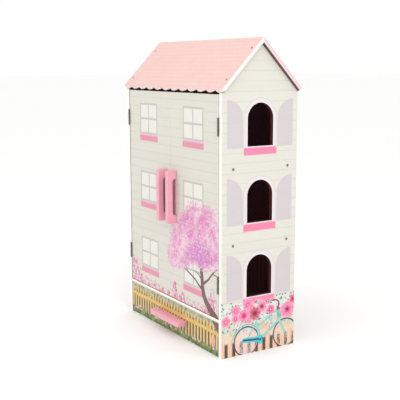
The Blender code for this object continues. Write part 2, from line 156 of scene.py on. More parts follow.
# ---- Terms and sheets: shader nodes written as arithmetic -------------------------------
class Term:
    """A value in one material's nodes. Arithmetic on it adds Math nodes."""

    def __init__(self, sheet, socket):
        self.sheet = sheet
        self.socket = socket

    def __add__(self, other):
        return self.sheet.math("ADD", self, other)

    def __sub__(self, other):
        return self.sheet.math("SUBTRACT", self, other)

    def __rsub__(self, other):
        return self.sheet.math("SUBTRACT", other, self)

    def __mul__(self, other):
        return self.sheet.math("MULTIPLY", self, other)

    def __truediv__(self, other):
        return self.sheet.math("DIVIDE", self, other)

    def __abs__(self):
        return self.sheet.math("ABSOLUTE", self)

    __radd__ = __add__
    __rmul__ = __mul__


class Scatter:
    """One point in each cell of a jittered grid, seen from the spot being painted."""

    def __init__(self, du, dv, u, v, chances):
        self.du = du
        self.dv = dv
        self.u = u
        self.v = v
        self.chances = chances


class Sheet:
    """A print on one board, painted layer by layer. Lengths are in millimetres.

    Every layer is a node group, so no tree grows long. No node clamps and no link turns one
    kind of value into another, so the renderer works the nodes out in the order they are
    made and never holds many values at once.
    """

    def __init__(self, tree, plane):
        self.nodes = tree.nodes
        self.links = tree.links
        self.plane = plane
        self.here = self.nodes.new("ShaderNodeTexCoord").outputs["Object"]
        self.x, self.y, self.z = (self.measure(turn) for turn in AXIS_TURNS)
        self.u = self.x if plane == "front" else self.y
        self.v = self.z
        self.colour = None

    def measure(self, turn):
        """One coordinate as a number, read from a gradient that a turn lays along it."""
        turned = self.node("ShaderNodeMapping")
        turned.inputs["Location"].default_value[0] = 0.5
        turned.inputs["Rotation"].default_value = turn
        turned.inputs["Scale"].default_value = [1 / GRADIENT_SPAN] * 3
        gradient = self.node("ShaderNodeTexGradient")
        self.links.new(self.here, turned.inputs["Vector"])
        self.links.new(turned.outputs[0], gradient.inputs["Vector"])
        share = Term(self, gradient.outputs["Fac"])
        span = GRADIENT_SPAN * MM
        return self.linear(share, span, -span / 2)

    def node(self, kind, **settings):
        made = self.nodes.new(kind)
        for name, value in settings.items():
            setattr(made, name, value)
        return made

    def feed(self, socket, value):
        """Links a term to a socket, or sets the socket's own value."""
        if isinstance(value, Term):
            self.links.new(value.socket, socket)
        else:
            socket.default_value = value

    def lay(self, painter, *details):
        """Runs a painter inside a node group that takes and returns the colour so far."""
        group = bpy.data.node_groups.new(painter.__name__, "ShaderNodeTree")
        for side in ("INPUT", "OUTPUT"):
            group.interface.new_socket("Colour", in_out=side, socket_type="NodeSocketColor")
        inner = Sheet(group, self.plane)
        inner.colour = Term(inner, inner.node("NodeGroupInput").outputs[0])
        painter(inner, *details)
        inner.feed(inner.node("NodeGroupOutput").inputs[0], inner.colour)
        made = self.node("ShaderNodeGroup", node_tree=group)
        self.feed(made.inputs[0], self.colour)
        self.colour = Term(self, made.outputs[0])

    def math(self, operation, *values):
        made = self.node("ShaderNodeMath", operation=operation)
        for socket, value in zip(made.inputs, values):
            self.feed(socket, value)
        return Term(self, made.outputs[0])

    def vector(self, operation, first, second=None, scale=None):
        made = self.node("ShaderNodeVectorMath", operation=operation)
        self.feed(made.inputs[0], first)
        if second is not None:
            self.feed(made.inputs[1], second)
        if scale is not None:
            self.feed(made.inputs["Scale"], scale)
        number = operation in ("DISTANCE", "DOT_PRODUCT")
        return Term(self, made.outputs["Value" if number else "Vector"])

    def at(self, u, v):
        made = self.node("ShaderNodeCombineXYZ")
        self.feed(made.inputs[0], u)
        self.feed(made.inputs[1], v)
        return Term(self, made.outputs[0])

    def ramp(self, value, low, high):
        """0 at low, 1 at high, with a smooth rise between them."""
        made = self.node("ShaderNodeMapRange", interpolation_type="SMOOTHSTEP", clamp=False)
        self.feed(made.inputs["Value"], value)
        self.feed(made.inputs["From Min"], low)
        self.feed(made.inputs["From Max"], high)
        return Term(self, made.outputs["Result"])

    def inside(self, distance, soft=PRINT_EDGE):
        """1 where a signed distance is negative."""
        return self.ramp(distance, soft, -soft)

    def linear(self, value, slope, start):
        """value * slope + start"""
        return self.math("MULTIPLY_ADD", value, slope, start)

    def rows(self, value, pitch):
        """The row that a length falls in, and how far into the row."""
        return self.math("FLOOR", value / pitch), self.math("FLOORED_MODULO", value, pitch)

    def cell(self, row, column):
        """A chance from 0 to 1 for each cell of a grid."""
        return self.hash(self.linear(row, ROW_KEY, column))

    def least(self, *values):
        found = values[0]
        for value in values[1:]:
            found = self.math("MINIMUM", found, value)
        return found

    def most(self, *values):
        found = values[0]
        for value in values[1:]:
            found = self.math("MAXIMUM", found, value)
        return found

    def wrap(self, value, half):
        """Repeats a length every 2 * half, from -half to half."""
        return self.math("WRAP", value, half, -half)

    def hash(self, value):
        """A chance from 0 to 1 that depends only on a whole number."""
        made = self.node("ShaderNodeTexWhiteNoise", noise_dimensions="1D")
        self.feed(made.inputs["W"], value)
        return Term(self, made.outputs["Value"])

    # Signed distances: negative inside the shape
    def block(self, u, v, centre, half):
        """A rectangle."""
        return self.most(abs(u - centre[0]) - half[0], abs(v - centre[1]) - half[1])

    def disc(self, spot, centre, radius):
        return self.vector("DISTANCE", spot, (*centre, 0.0)) - radius

    def rod(self, spot, start, end, start_half, end_half):
        """A round-ended bar that may taper."""
        along = Vector((end[0] - start[0], end[1] - start[1], 0.0))
        away = self.vector("SUBTRACT", spot, (*start, 0.0))
        share = self.vector("DOT_PRODUCT", away, along / along.length_squared)
        share = self.least(self.most(share, 0.0), 1.0)
        nearest = self.vector("SCALE", tuple(along), scale=share)
        width = self.linear(share, end_half - start_half, start_half)
        return self.vector("DISTANCE", away, nearest) - width

    def stroke(self, spot, points):
        """Rods through points of (u, v, half width)."""
        rods = [
            self.rod(spot, a[:2], b[:2], a[2], b[2]) for a, b in zip(points, points[1:])
        ]
        return self.least(*rods)

    def oval(self, u, v, centre, radii):
        """0 at the middle of an ellipse and 1 on its outline."""
        across = (u - centre[0]) / radii[0]
        up = (v - centre[1]) / radii[1]
        return self.math("SQRT", self.linear(across, across, up * up))

    def noise(self, size, detail=2.0, grain=EVEN):
        """Cloudy values round 0.5; grain stretches them along an axis."""
        turned = self.node("ShaderNodeMapping")
        turned.inputs["Scale"].default_value = [MM / (size * stretch) for stretch in grain]
        self.links.new(self.here, turned.inputs["Vector"])
        made = self.node("ShaderNodeTexNoise")
        made.inputs["Scale"].default_value = 1.0
        made.inputs["Detail"].default_value = detail
        self.links.new(turned.outputs[0], made.inputs["Vector"])
        return Term(self, made.outputs[0])

    def scatter(self, pitch, seed, jitter=0.5):
        """One point a cell, in rows half a cell apart, with three chances from 0 to 1 each."""
        high = self.linear(self.v, 1 / pitch, seed * 0.37)
        row = self.math("FLOOR", high)
        wide = self.linear(self.u, 1 / pitch, row * 0.5 + seed)
        column = self.math("FLOOR", wide)
        made = self.node("ShaderNodeTexWhiteNoise", noise_dimensions="1D")
        self.feed(made.inputs["W"], self.linear(row, ROW_KEY, column))
        split = self.node("ShaderNodeSeparateColor")
        self.links.new(made.outputs["Color"], split.inputs[0])
        chances = [Term(self, out) for out in split.outputs]
        side_shift = self.linear(chances[0], jitter, 0.5 - jitter / 2)
        rise_shift = self.linear(chances[1], jitter, 0.5 - jitter / 2)
        du = (wide - column - side_shift) * pitch
        dv = (high - row - rise_shift) * pitch
        return Scatter(du, dv, self.u - du, self.v - dv, chances)

    def bloom(self, du, dv, radius, petals, turn, cut=0.42):
        """A flower: signed distance to its outline, how far into a petal, and reach."""
        angle = self.math("ARCTAN2", dv, du)
        lobes = self.linear(angle, petals / 2, turn)
        notch = abs(self.math("COSINE", lobes))
        outline = self.linear(notch, cut, 1.02 - cut) * radius
        reach = self.math("SQRT", self.linear(du, du, dv * dv))
        return reach - outline, notch, reach

    def part(self, mask, share):
        return mask if share == 1.0 else mask * share

    def blend(self, factor, first, second):
        made = self.node("ShaderNodeMix", data_type="RGBA")
        self.feed(made.inputs[0], factor)
        self.feed(made.inputs[6], first)
        self.feed(made.inputs[7], second)
        return Term(self, made.outputs[2])

    def shade(self, base, value, low, high, share, colour):
        """A base colour with a share of another where a value has gone from low to high."""
        return self.blend(self.part(self.ramp(value, low, high), share), base, colour)

    def mixed(self, base, colour, size, detail, low, high, grain=EVEN):
        """Clouds of a colour on a base colour."""
        return self.shade(base, self.noise(size, detail, grain), low, high, 1.0, colour)

    def cover(self, mask, colour):
        """Lays a colour over what is painted so far."""
        self.colour = self.blend(mask, self.colour, colour)

    def fill(self, distance, colour, share=1.0):
        """Paints the inside of a shape."""
        self.cover(self.part(self.inside(distance), share), colour)

    def tint(self, value, low, high, share, colour):
        """Paints a share of a colour where a value has gone from low to high."""
        self.colour = self.shade(self.colour, value, low, high, share, colour)

    def mottle(self, size, detail, low, high, share, colour, grain=EVEN):
        """Paints clouds of a colour."""
        self.tint(self.noise(size, detail, grain), low, high, share, colour)


class Finish(Sheet):
    """A whole material."""

    def __init__(self, name, colour, plane="front"):
        self.material = bpy.data.materials.new(name)
        self.material.use_nodes = True
        self.material.node_tree.nodes.clear()
        super().__init__(self.material.node_tree, plane)
        self.colour = colour

    def done(self, roughness=0.5, metallic=0.0, relief=None, relief_depth=0.0):
        """Adds the surface shader. Relief is a height from 0 to 1, its depth in metres."""
        shader = self.node("ShaderNodeBsdfPrincipled")
        self.feed(shader.inputs["Base Color"], self.colour)
        self.feed(shader.inputs["Roughness"], roughness)
        self.feed(shader.inputs["Metallic"], metallic)
        if relief is not None:
            bump = self.node("ShaderNodeBump")
            bump.inputs["Distance"].default_value = relief_depth
            self.feed(bump.inputs["Height"], relief)
            self.links.new(bump.outputs[0], shader.inputs["Normal"])
        output = self.node("ShaderNodeOutputMaterial")
        self.links.new(shader.outputs[0], output.inputs["Surface"])
        return self.material


# ---- Prints that several boards share ----------------------------------------------------
SIDING_PITCH = 25.0
SIDING_TOP = 668.0          # height of one siding line
JOINT_PITCH = 92.0          # between the upright joints of a siding row
JOINT_STEP = 37.0           # each row's joints shift by this much


def paint_siding(sheet):
    """Cream weatherboards with faint lines, each row its own tone."""
    rise = sheet.v - SIDING_TOP
    row, within = sheet.rows(rise, SIDING_PITCH)
    sheet.cover(sheet.hash(row) * 0.12, srgb(214, 212, 200))
    sheet.tint(within, 7.0, 0.0, 0.14, WALL_LINE)
    sheet.fill(abs(within - 0.8) - 0.45, WALL_LINE, 0.45)
    shifted = sheet.wrap(sheet.linear(row, JOINT_STEP, sheet.u), JOINT_PITCH / 2)
    sheet.fill(abs(shifted) - 0.35, WALL_JOINT, 0.30)
    grain = sheet.noise(5.0, 3.0, grain=(7.0, 7.0, 1.0))
    sheet.tint(grain, 0.45, 0.75, 0.10, srgb(206, 202, 190))


def paint_leaves(sheet, pitch, seed, presence, light, dark):
    """Slim leaves at random turns, only where presence says so."""
    near = sheet.scatter(pitch, seed, 0.3)
    turn = near.chances[0] * math.tau
    cosine, sine = sheet.math("COSINE", turn), sheet.math("SINE", turn)
    along = near.du * cosine + near.dv * sine
    across = near.dv * cosine - near.du * sine
    reach = pitch * 0.48
    width = sheet.linear(along * along, -0.8 / reach, reach * 0.40)
    shape = sheet.inside(abs(across) - width)
    tone = sheet.blend(near.chances[1], light, dark)
    tone = sheet.blend(sheet.inside(abs(across) - 0.2) * 0.4, tone, dark)
    sheet.cover(shape * presence(near.u, near.v, near.chances[2]), tone)


def paint_blossoms(sheet, pitch, seed, presence, tones, heart, size=0.40, petals=5):
    """Small flowers, only where presence says so. tones are the two ends of their colour."""
    near = sheet.scatter(pitch, seed, 0.7 - size)
    radius = sheet.linear(near.chances[0], pitch * 0.12, pitch * (size - 0.08))
    turn = near.chances[1] * math.pi
    outline, notch, reach = sheet.bloom(near.du, near.dv, radius, petals, turn)
    tone = sheet.blend(near.chances[1], *tones)
    tone = sheet.shade(tone, outline, radius * -0.7, 0.0, 0.35, WHITE)
    tone = sheet.shade(tone, notch, 0.35, 0.0, 0.35, heart)
    tone = sheet.blend(sheet.inside(reach - radius * 0.18) * 0.7, tone, heart)
    sheet.cover(sheet.inside(outline) * presence(near.u, near.v, near.chances[2]), tone)


def paint_rose(sheet, centre, radius, petals, turn, tone, deep, heart):
    """One large flower of three rings of petals."""
    du, dv = sheet.u - centre[0], sheet.v - centre[1]
    for share, colour, lift in ((1.0, tone, 0.20), (0.70, tone, 0.05), (0.40, deep, -0.1)):
        outline, notch, reach = sheet.bloom(
            du, dv, radius * share, petals, turn + share * math.pi * 1.7, 0.24
        )
        rim = sheet.ramp(outline, -radius * 0.34 * share, 0.0)
        shade = sheet.blend(rim * (0.20 + lift), colour, WHITE)
        shade = sheet.shade(shade, notch, 0.5, 0.0, 0.75, deep)
        sheet.fill(outline, shade)
    sheet.fill(reach - radius * 0.14, heart)


def board_relief(sheet):
    """The fine orange peel of a lacquered board."""
    return sheet.noise(1.6, 2.0)


def lacquer_roughness(sheet, middle=0.46, spread=0.16):
    """Handled lacquer: a little shinier in some places than in others."""
    smudge = sheet.noise(38.0, 3.0)
    return sheet.linear(smudge, spread, middle - spread / 2)


def plain_lacquer(sheet):
    """The cream lacquer of edges and backs."""
    grain = sheet.noise(3.0, 3.0)
    return sheet.shade(BOARD_EDGE, grain, 0.4, 0.7, 0.25, srgb(232, 226, 208))


def paint_room(sheet):
    """Deep red wallpaper: stripes, dots and diamonds, one pattern for each storey."""
    u, v = sheet.u, sheet.v
    level = (v - FLOOR_TOPS[0]) / STOREY
    stripe = abs(sheet.wrap(u, 9.0))
    sheet.fill(4.0 - stripe, ROOM_RED_LIGHT, 0.8)
    sheet.fill(abs(stripe - 5.5) - 0.4, srgb(164, 104, 104), 0.5)
    first = sheet.inside(1.0 - level, 0.001)
    sheet.cover(first, ROOM_RED)
    spot = sheet.at(sheet.wrap(u, 8.0), sheet.wrap(v, 8.0))
    other = sheet.at(sheet.wrap(u + 8.0, 8.0), sheet.wrap(v + 8.0, 8.0))
    dots = sheet.least(sheet.disc(spot, (0, 0), 1.7), sheet.disc(other, (0, 0), 1.7))
    sheet.cover(sheet.inside(dots) * first, srgb(156, 92, 100))
    second = sheet.inside(2.0 - level, 0.001)
    sheet.cover(second, ROOM_RED)
    lattice = sheet.least(
        abs(sheet.wrap(u + v * 0.7, 12.0)), abs(sheet.wrap(u - v * 0.7, 12.0))
    )
    sheet.cover(sheet.inside(lattice - 0.7) * second * 0.7, ROOM_RED_LIGHT)
    sheet.mottle(2.2, 2.0, 0.4, 0.7, 0.16, srgb(70, 28, 36))


# ---- The front: doors and drawer -----------------------------------------------------------
FRONT_WINDOW_MIDDLE = -3.0      # halfway between the two columns of windows
FRONT_WINDOW_SPREAD = 119.0     # from there to the middle of each column
FRONT_WINDOW_RISE = 101.0       # floor to the middle bar of its window
FRONT_WINDOW_HALF = (50.0, 43.0)
PANE_BAR = 2.6                  # half width of the bars between panes
PANE_FRAME = 5.0                # width of the frame round them
FRONT_SILL_HALF = (52.0, 8.5)
FRONT_SILL_DROP = 54.0          # middle bar to the middle of the sill


def paint_front_windows(sheet):
    """Six printed windows of four panes, each over a pink sill."""
    across = abs(sheet.u - FRONT_WINDOW_MIDDLE) - FRONT_WINDOW_SPREAD
    up = sheet.wrap(sheet.v - FLOOR_TOPS[0] - FRONT_WINDOW_RISE, STOREY / 2)
    shadow = sheet.block(across, up, (1.5, -3.0), [half + 3 for half in FRONT_WINDOW_HALF])
    sheet.cover(sheet.inside(shadow, 3.0) * 0.15, WALL_LINE)
    sheet.fill(sheet.block(across, up, (0, 0), FRONT_WINDOW_HALF), FRAME_GREY)
    pane_half = [(half - PANE_FRAME - PANE_BAR) / 2 for half in FRONT_WINDOW_HALF]
    pane_middle = [PANE_BAR + half for half in pane_half]
    pane = sheet.block(abs(across), abs(up), pane_middle, pane_half)
    sheet.fill(abs(pane) - 0.35, srgb(176, 174, 172), 0.4)
    sheet.fill(pane, PANE)
    glint = sheet.wrap(across + up * 0.8, 22.0)
    sheet.cover(sheet.inside(pane) * sheet.inside(abs(glint) - 4.0, 1.5) * 0.4, WHITE)
    light_edge = sheet.block(across, up, (0, -FRONT_WINDOW_HALF[1] - 1.0), (51.0, 1.2))
    sheet.fill(light_edge, ROSE_PALE, 0.8)
    sill = sheet.block(across, up, (0, -FRONT_SILL_DROP), FRONT_SILL_HALF)
    fade = sheet.noise(30.0, 2.0)
    sheet.fill(sill, sheet.blend(fade * 0.35, SILL_PINK, srgb(228, 122, 156)))
    ledge = sheet.block(across, up, (0, -FRONT_SILL_DROP + 7.0), (52.0, 1.0))
    sheet.fill(ledge, ROSE_PALE, 0.6)


FLOWER_BED_TOP = 124.0
BED_MOUNDS = (
    # middle, half width and extra height of the taller flowers
    (-214.0, 50.0, 52.0),
    (-128.0, 26.0, 8.0),
    (18.0, 20.0, 34.0),
    (58.0, 26.0, 10.0),
    (208.0, 28.0, 54.0),
)


def bed_height(sheet, u):
    """How high the flowers stand at u."""
    height = FLOWER_BED_TOP
    for middle, half, extra in BED_MOUNDS:
        height = height + sheet.ramp(abs(u - middle), half, half * 0.2) * extra
    return height


def grows_in_bed(sheet, spare, most):
    """Presence of flowers that keep a spare height below the top of the bed."""

    def presence(at_u, at_v, chance):
        free = bed_height(sheet, at_u) - spare - at_v
        return sheet.inside(chance + 0.03 - sheet.ramp(free, -6.0, 16.0) * most, 0.02)

    return presence


def paint_bed_leaves(sheet):
    """Leaves along the foot of the doors."""
    haze = sheet.ramp(bed_height(sheet, sheet.u) - sheet.v, -8.0, 34.0)
    mottle = sheet.noise(9.0, 3.0)
    sheet.cover(haze * sheet.ramp(mottle, 0.42, 0.6) * 0.6, srgb(228, 234, 224))
    paint_leaves(sheet, 14.0, 3.1, grows_in_bed(sheet, 2.0, 0.8), MINT, srgb(132, 176, 150))
    paint_leaves(sheet, 9.0, 8.7, grows_in_bed(sheet, 4.0, 0.7), srgb(206, 230, 208), MINT)


def paint_bed_flowers(sheet):
    """Flowers along the foot of the doors."""
    paint_blossoms(
        sheet, 19.0, 21.4, grows_in_bed(sheet, 2.0, 0.8), (ROSE_PALE, ROSE), HOT_PINK, 0.48
    )
    paint_leaves(sheet, 12.0, 29.7, grows_in_bed(sheet, 0.0, 0.4), MINT, srgb(118, 160, 140))
    paint_blossoms(
        sheet, 12.0, 12.8, grows_in_bed(sheet, 2.0, 0.75), (ROSE_PALE, PETAL_PINK), ROSE
    )
    paint_blossoms(
        sheet, 17.0, 40.9, grows_in_bed(sheet, 7.0, 0.9),
        (srgb(240, 140, 172), srgb(226, 92, 132)), CRIMSON, 0.46, 6,
    )
    paint_blossoms(
        sheet, 10.0, 57.3, grows_in_bed(sheet, 8.0, 0.8),
        (srgb(236, 120, 156), srgb(206, 110, 160)), srgb(150, 40, 84), 0.44,
    )
    paint_blossoms(
        sheet, 9.0, 63.9, grows_in_bed(sheet, 5.0, 0.4), (WHITE, ROSE_PALE), PETAL_PINK, 0.44
    )


TREE_TRUNK = (
    (222, 99, 14), (199, 116, 10.5), (179, 132, 9), (168, 147, 8.5),
    (162, 167, 8), (158, 198, 7), (153, 226, 6.5), (150, 258, 4),
)
TREE_LIMBS = (
    ((158, 163, 4), (143, 169, 3), (126, 180, 2.6), (100, 190, 2.2), (74, 198, 1.8),
     (51, 213, 1.4), (40, 230, 0.8)),
    ((157, 187, 2.2), (140, 198, 1.6), (122, 204, 0.8)),
    ((163, 176, 4), (189, 193, 2.8), (209, 213, 2.2), (238, 234, 1.2)),
    ((209, 212, 1.8), (238, 210, 1.0)),
    ((90, 193, 1.2), (76, 208, 0.9), (70, 222, 0.6)),
)
CROWN_OVALS = (
    # middle and radii of the round parts of the crown
    ((160.0, 300.0), (118.0, 88.0)),
    ((70.0, 272.0), (74.0, 70.0)),
    ((26.0, 226.0), (46.0, 42.0)),
)
CROWN_CORE = ((152.0, 250.0), (66.0, 38.0))


def crown(sheet, u, v):
    """0 deep in the crown of the tree, 1 on its outline."""
    return sheet.least(*[sheet.oval(u, v, *oval) for oval in CROWN_OVALS])


def in_crown(sheet, limit, share):
    """Presence of a share of the blossoms, up to a limit of the crown's outline."""

    def presence(at_u, at_v, chance):
        edge = crown(sheet, at_u, at_v)
        return sheet.inside(edge - limit, 0.01) * sheet.inside(chance - share, 0.01)

    return presence


def in_core(sheet):
    """Presence of blossoms in the dark heart of the crown."""

    def presence(at_u, at_v, chance):
        return sheet.inside(sheet.oval(at_u, at_v, *CROWN_CORE) - chance * 0.7 - 0.45, 0.01)

    return presence


def paint_trunk(sheet):
    """The trunk and the limbs of the tree."""
    spot = sheet.at(sheet.u, sheet.v)
    for points in TREE_LIMBS + (TREE_TRUNK,):
        wood = sheet.stroke(spot, points)
        rib = sheet.noise(3.0, 3.0, grain=(0.6, 1.0, 4.0))
        bark = sheet.shade(BARK, rib, 0.42, 0.62, 1.0, BARK_LIGHT)
        bark = sheet.shade(bark, wood, -3.5, -0.2, 0.45, srgb(84, 54, 54))
        sheet.fill(wood, bark)


def paint_crown_mass(sheet):
    """The soft mass of the crown, in clumps of light and dark."""
    tatter = sheet.noise(15.0, 4.0)
    depth = crown(sheet, sheet.u, sheet.v) + tatter * 0.6
    heart = sheet.oval(sheet.u, sheet.v, *CROWN_CORE)
    clump = sheet.noise(34.0, 3.0)
    mass = sheet.shade(srgb(248, 214, 230), clump, 0.40, 0.56, 1.0, ROSE)
    mass = sheet.shade(mass, clump, 0.52, 0.66, 0.75, srgb(224, 126, 188))
    mass = sheet.shade(mass, clump + heart * 0.12, 0.60, 0.40, 0.4, MAGENTA)
    mass = sheet.shade(mass, heart, 1.35, 0.4, 0.95, srgb(216, 112, 200))
    sheet.tint(depth, 1.34, 1.10, 0.92, mass)


def paint_crown_blossoms(sheet):
    """Blossoms over the crown's mass: a darker layer, then a paler one over it reaching a little
    further out.
    """
    paint_blossoms(
        sheet, 12.0, 5.2, in_crown(sheet, 1.05, 0.45), (ROSE, srgb(228, 130, 192)), MAGENTA
    )
    paint_blossoms(
        sheet, 9.0, 13.7, in_crown(sheet, 1.12, 0.4), (ROSE_PALE, ROSE), MAGENTA
    )


def paint_core_blossoms(sheet):
    """The dark heart of the crown and a few bright spots."""
    paint_blossoms(
        sheet, 8.0, 44.4, in_crown(sheet, 1.04, 0.25), (ROSE_PALE, srgb(240, 170, 212)), ROSE
    )
    paint_blossoms(
        sheet, 10.0, 71.6, in_crown(sheet, 1.0, 0.10), (LILAC, ROSE_PALE), ROSE, 0.34
    )
    paint_leaves(
        sheet, 11.0, 91.9, in_crown(sheet, 0.95, 0.08), srgb(206, 230, 214), srgb(168, 178, 168)
    )
    paint_blossoms(sheet, 12.0, 33.1, in_core(sheet), (MAGENTA, PURPLE), srgb(176, 88, 184))


def on_front_face(sheet):
    """Keeps the print on the front face. The edges are bright, the back a duller cream."""
    on_back = sheet.inside(DOOR_BACK - FACE_DEPTH - sheet.y, 0.1)
    speckle = sheet.noise(2.2, 3.0)
    dull = sheet.shade(WALL_CREAM, speckle, 0.4, 0.7, 0.3, srgb(214, 208, 194))
    plain = sheet.blend(on_back, plain_lacquer(sheet), dull)
    on_front = sheet.inside(sheet.y - FRONT - FACE_DEPTH, 0.1)
    sheet.colour = sheet.blend(on_front, plain, sheet.colour)


def finish_board(sheet):
    return sheet.done(lacquer_roughness(sheet), relief=board_relief(sheet), relief_depth=4e-5)


def door_material():
    sheet = Finish("door_print", WALL_CREAM)
    for painter in (
        paint_siding, paint_front_windows, paint_bed_leaves, paint_bed_flowers, paint_trunk,
        paint_crown_mass, paint_crown_blossoms, paint_core_blossoms, on_front_face,
    ):
        sheet.lay(painter)
    return finish_board(sheet)


FENCE_PITCH = 15.3
PICKET_HALF = 3.8
PICKET_TIP = 85.0
FENCE_RAIL = (62.0, 5.5)        # middle and half height
GRASS_TOP = 21.0


def paint_behind_fence(sheet):
    """Leaves and shade between the pickets."""
    streaks = (1.0, 1.0, 6.0)
    back = sheet.mixed(srgb(188, 206, 172), srgb(150, 132, 96), 4.0, 2.0, 0.4, 0.62, streaks)
    sheet.colour = sheet.shade(back, sheet.v, 84.0, 68.0, 0.85, GAP_BROWN)

    def above(at_u, at_v, chance):
        return sheet.inside(56.0 - at_v, 2.0) * sheet.inside(chance - 0.3, 0.02)

    paint_leaves(sheet, 11.0, 4.4, above, srgb(196, 216, 186), srgb(120, 140, 84))
    paint_blossoms(
        sheet, 10.0, 17.9, above, (srgb(232, 196, 196), srgb(196, 156, 150)),
        srgb(150, 100, 90),
    )


def paint_fence(sheet):
    """Yellow pickets and their rail."""
    v = sheet.v
    own = sheet.wrap(sheet.u, FENCE_PITCH / 2)
    tip = sheet.linear(abs(own), -1.5, PICKET_TIP)
    shape = sheet.most(abs(own) - PICKET_HALF, v - tip)
    wood = sheet.mixed(PICKET, PICKET_LIGHT, 2.0, 3.0, 0.4, 0.65, (1.0, 1.0, 16.0))
    wood = sheet.shade(wood, v, 48.0, 24.0, 0.5, srgb(240, 206, 176))
    wood = sheet.shade(wood, own, 1.5, PICKET_HALF, 0.35, srgb(170, 116, 48))
    sheet.fill(shape, wood)
    rail = abs(v - FENCE_RAIL[0]) - FENCE_RAIL[1]
    timber = sheet.mixed(RAIL, PICKET_LIGHT, 2.4, 3.0, 0.4, 0.62, (18.0, 1.0, 1.0))
    timber = sheet.shade(timber, rail, -3.0, 0.0, 0.5, srgb(176, 128, 60))
    sheet.fill(rail, timber, 0.85)
    sheet.fill(sheet.block(own, v, (0, FENCE_RAIL[0]), (0.9, 0.9)), GAP_BROWN)


def paint_meadow(sheet):
    """Grass with small flowers, and the root of the tree."""
    v = sheet.v
    blades = sheet.noise(3.0, 2.0, grain=(1.0, 1.0, 7.0))
    top = sheet.linear(blades, 34.0, GRASS_TOP - 17.0)
    turf = sheet.shade(GRASS, blades, 0.38, 0.6, 1.0, srgb(158, 168, 96))
    turf = sheet.shade(turf, v, 18.0, 3.0, 0.45, GRASS_DARK)
    tufts = sheet.noise(11.0, 3.0)
    turf = sheet.shade(turf, tufts, 0.52, 0.64, 0.6, srgb(190, 198, 112))
    turf = sheet.shade(turf, tufts, 0.46, 0.36, 0.7, GRASS_DARK)
    sheet.cover(sheet.inside(v - top, 1.0), turf)

    def in_grass(at_u, at_v, chance):
        return sheet.inside(abs(at_v - 19.0) - 7.0, 1.0) * sheet.inside(chance - 0.3, 0.02)

    paint_blossoms(sheet, 10.0, 29.2, in_grass, (LILAC, ROSE_PALE), PURPLE)
    peach = sheet.oval(sheet.u, v, (212.0, 38.0), (10.0, 18.0))
    sheet.cover(sheet.ramp(peach, 1.1, 0.9), sheet.blend(blades, srgb(244, 170, 150), PEACH))
    root = sheet.rod(sheet.at(sheet.u, v), (238, 76), (214, 100), 12.0, 12.0)
    sheet.fill(root, sheet.blend(blades, BARK, BARK_LIGHT))


def drawer_front_material():
    sheet = Finish("drawer_print", PICKET)
    for painter in (paint_behind_fence, paint_fence, paint_meadow, on_front_face):
        sheet.lay(painter)
    return finish_board(sheet)


# ---- The side walls -----------------------------------------------------------------------
SHUTTER_INNER = 52.0
SHUTTER_OUTER = 100.0
SHUTTER_ARCH = 47.0             # spring of the arch to the outer top corner
TRIM_WIDTH = 10.5
SIDE_SILL_HALF = (50.0, 9.2)
SIDE_SILL_DROP = 12.3           # bottom of the hole to the middle of the sill


def rise_over_sill(sheet):
    """Height above the bottom of the nearest arched hole; far off it all in the gable."""
    middle = SPRING_RISE / 2
    ceiling = FLOOR_TOPS[2] + STOREY - 5.0
    in_gable = sheet.ramp(sheet.v, ceiling, ceiling + 1.0)
    up = sheet.wrap(sheet.v - FLOOR_TOPS[0] - SILL_RISE - middle, STOREY / 2) + middle
    return up + in_gable * MM


def paint_shutters(sheet):
    """A pair of arched shutters beside each hole."""
    up = rise_over_sill(sheet)
    side = abs(sheet.u)
    over = up - SPRING_RISE
    width = SHUTTER_OUTER - SHUTTER_INNER
    arch = (sheet.oval(side, over, (SHUTTER_OUTER, 0.0), (width, SHUTTER_ARCH)) - 1.0) * width
    panel = sheet.block(
        side, up, (SHUTTER_OUTER - width / 2, SPRING_RISE / 2 - 1.5),
        (width / 2, SPRING_RISE / 2 + 1.5),
    )
    top = sheet.most(arch, side - SHUTTER_OUTER, 0.0 - over)
    shutter = sheet.least(panel, top)
    slat = abs(sheet.wrap(up, 4.5))
    tone = sheet.shade(SHUTTER_GREY, slat, 3.4, 4.5, 0.16, SHUTTER_LINE)
    tone = sheet.blend(sheet.inside(abs(shutter + 5.0) - 0.5) * 0.4, tone, SHUTTER_LINE)
    tone = sheet.shade(tone, shutter, -1.4, -0.2, 0.35, srgb(206, 196, 196))
    sheet.fill(shutter, tone)


def paint_window_trim(sheet):
    """A pale trim round each hole, over a pink sill."""
    up = rise_over_sill(sheet)
    reach = sheet.at(sheet.u, sheet.most(up - SPRING_RISE, 0.0))
    rim = sheet.disc(reach, (0, 0), HOLE_HALF)
    below = 0.0 - up - 1.0
    sheet.fill(sheet.most(rim - TRIM_WIDTH, below), TRIM_PALE)
    line = sheet.most(abs(rim - TRIM_WIDTH) - 0.6, below)
    sheet.fill(line, SHUTTER_LINE, 0.6)
    sheet.fill(sheet.most(rim - 2.6, below), WHITE, 0.6)
    sill = sheet.block(sheet.u, up, (0.0, -SIDE_SILL_DROP), SIDE_SILL_HALF)
    fade = sheet.noise(22.0, 2.0)
    sheet.fill(sill, sheet.blend(fade * 0.4, SIDE_SILL_PINK, srgb(240, 118, 160)))
    ledge = sheet.block(sheet.u, up, (0.0, 0.6 - SIDE_SILL_DROP + SIDE_SILL_HALF[1]), (50.0, 1.0))
    sheet.fill(ledge, ROSE_PALE, 0.7)


SIDE_PICKET_PITCH = 23.6
SIDE_PICKET_HALF = 7.0
SIDE_PICKET_TIP = 90.0
SIDE_RAIL = (50.0, 5.5)


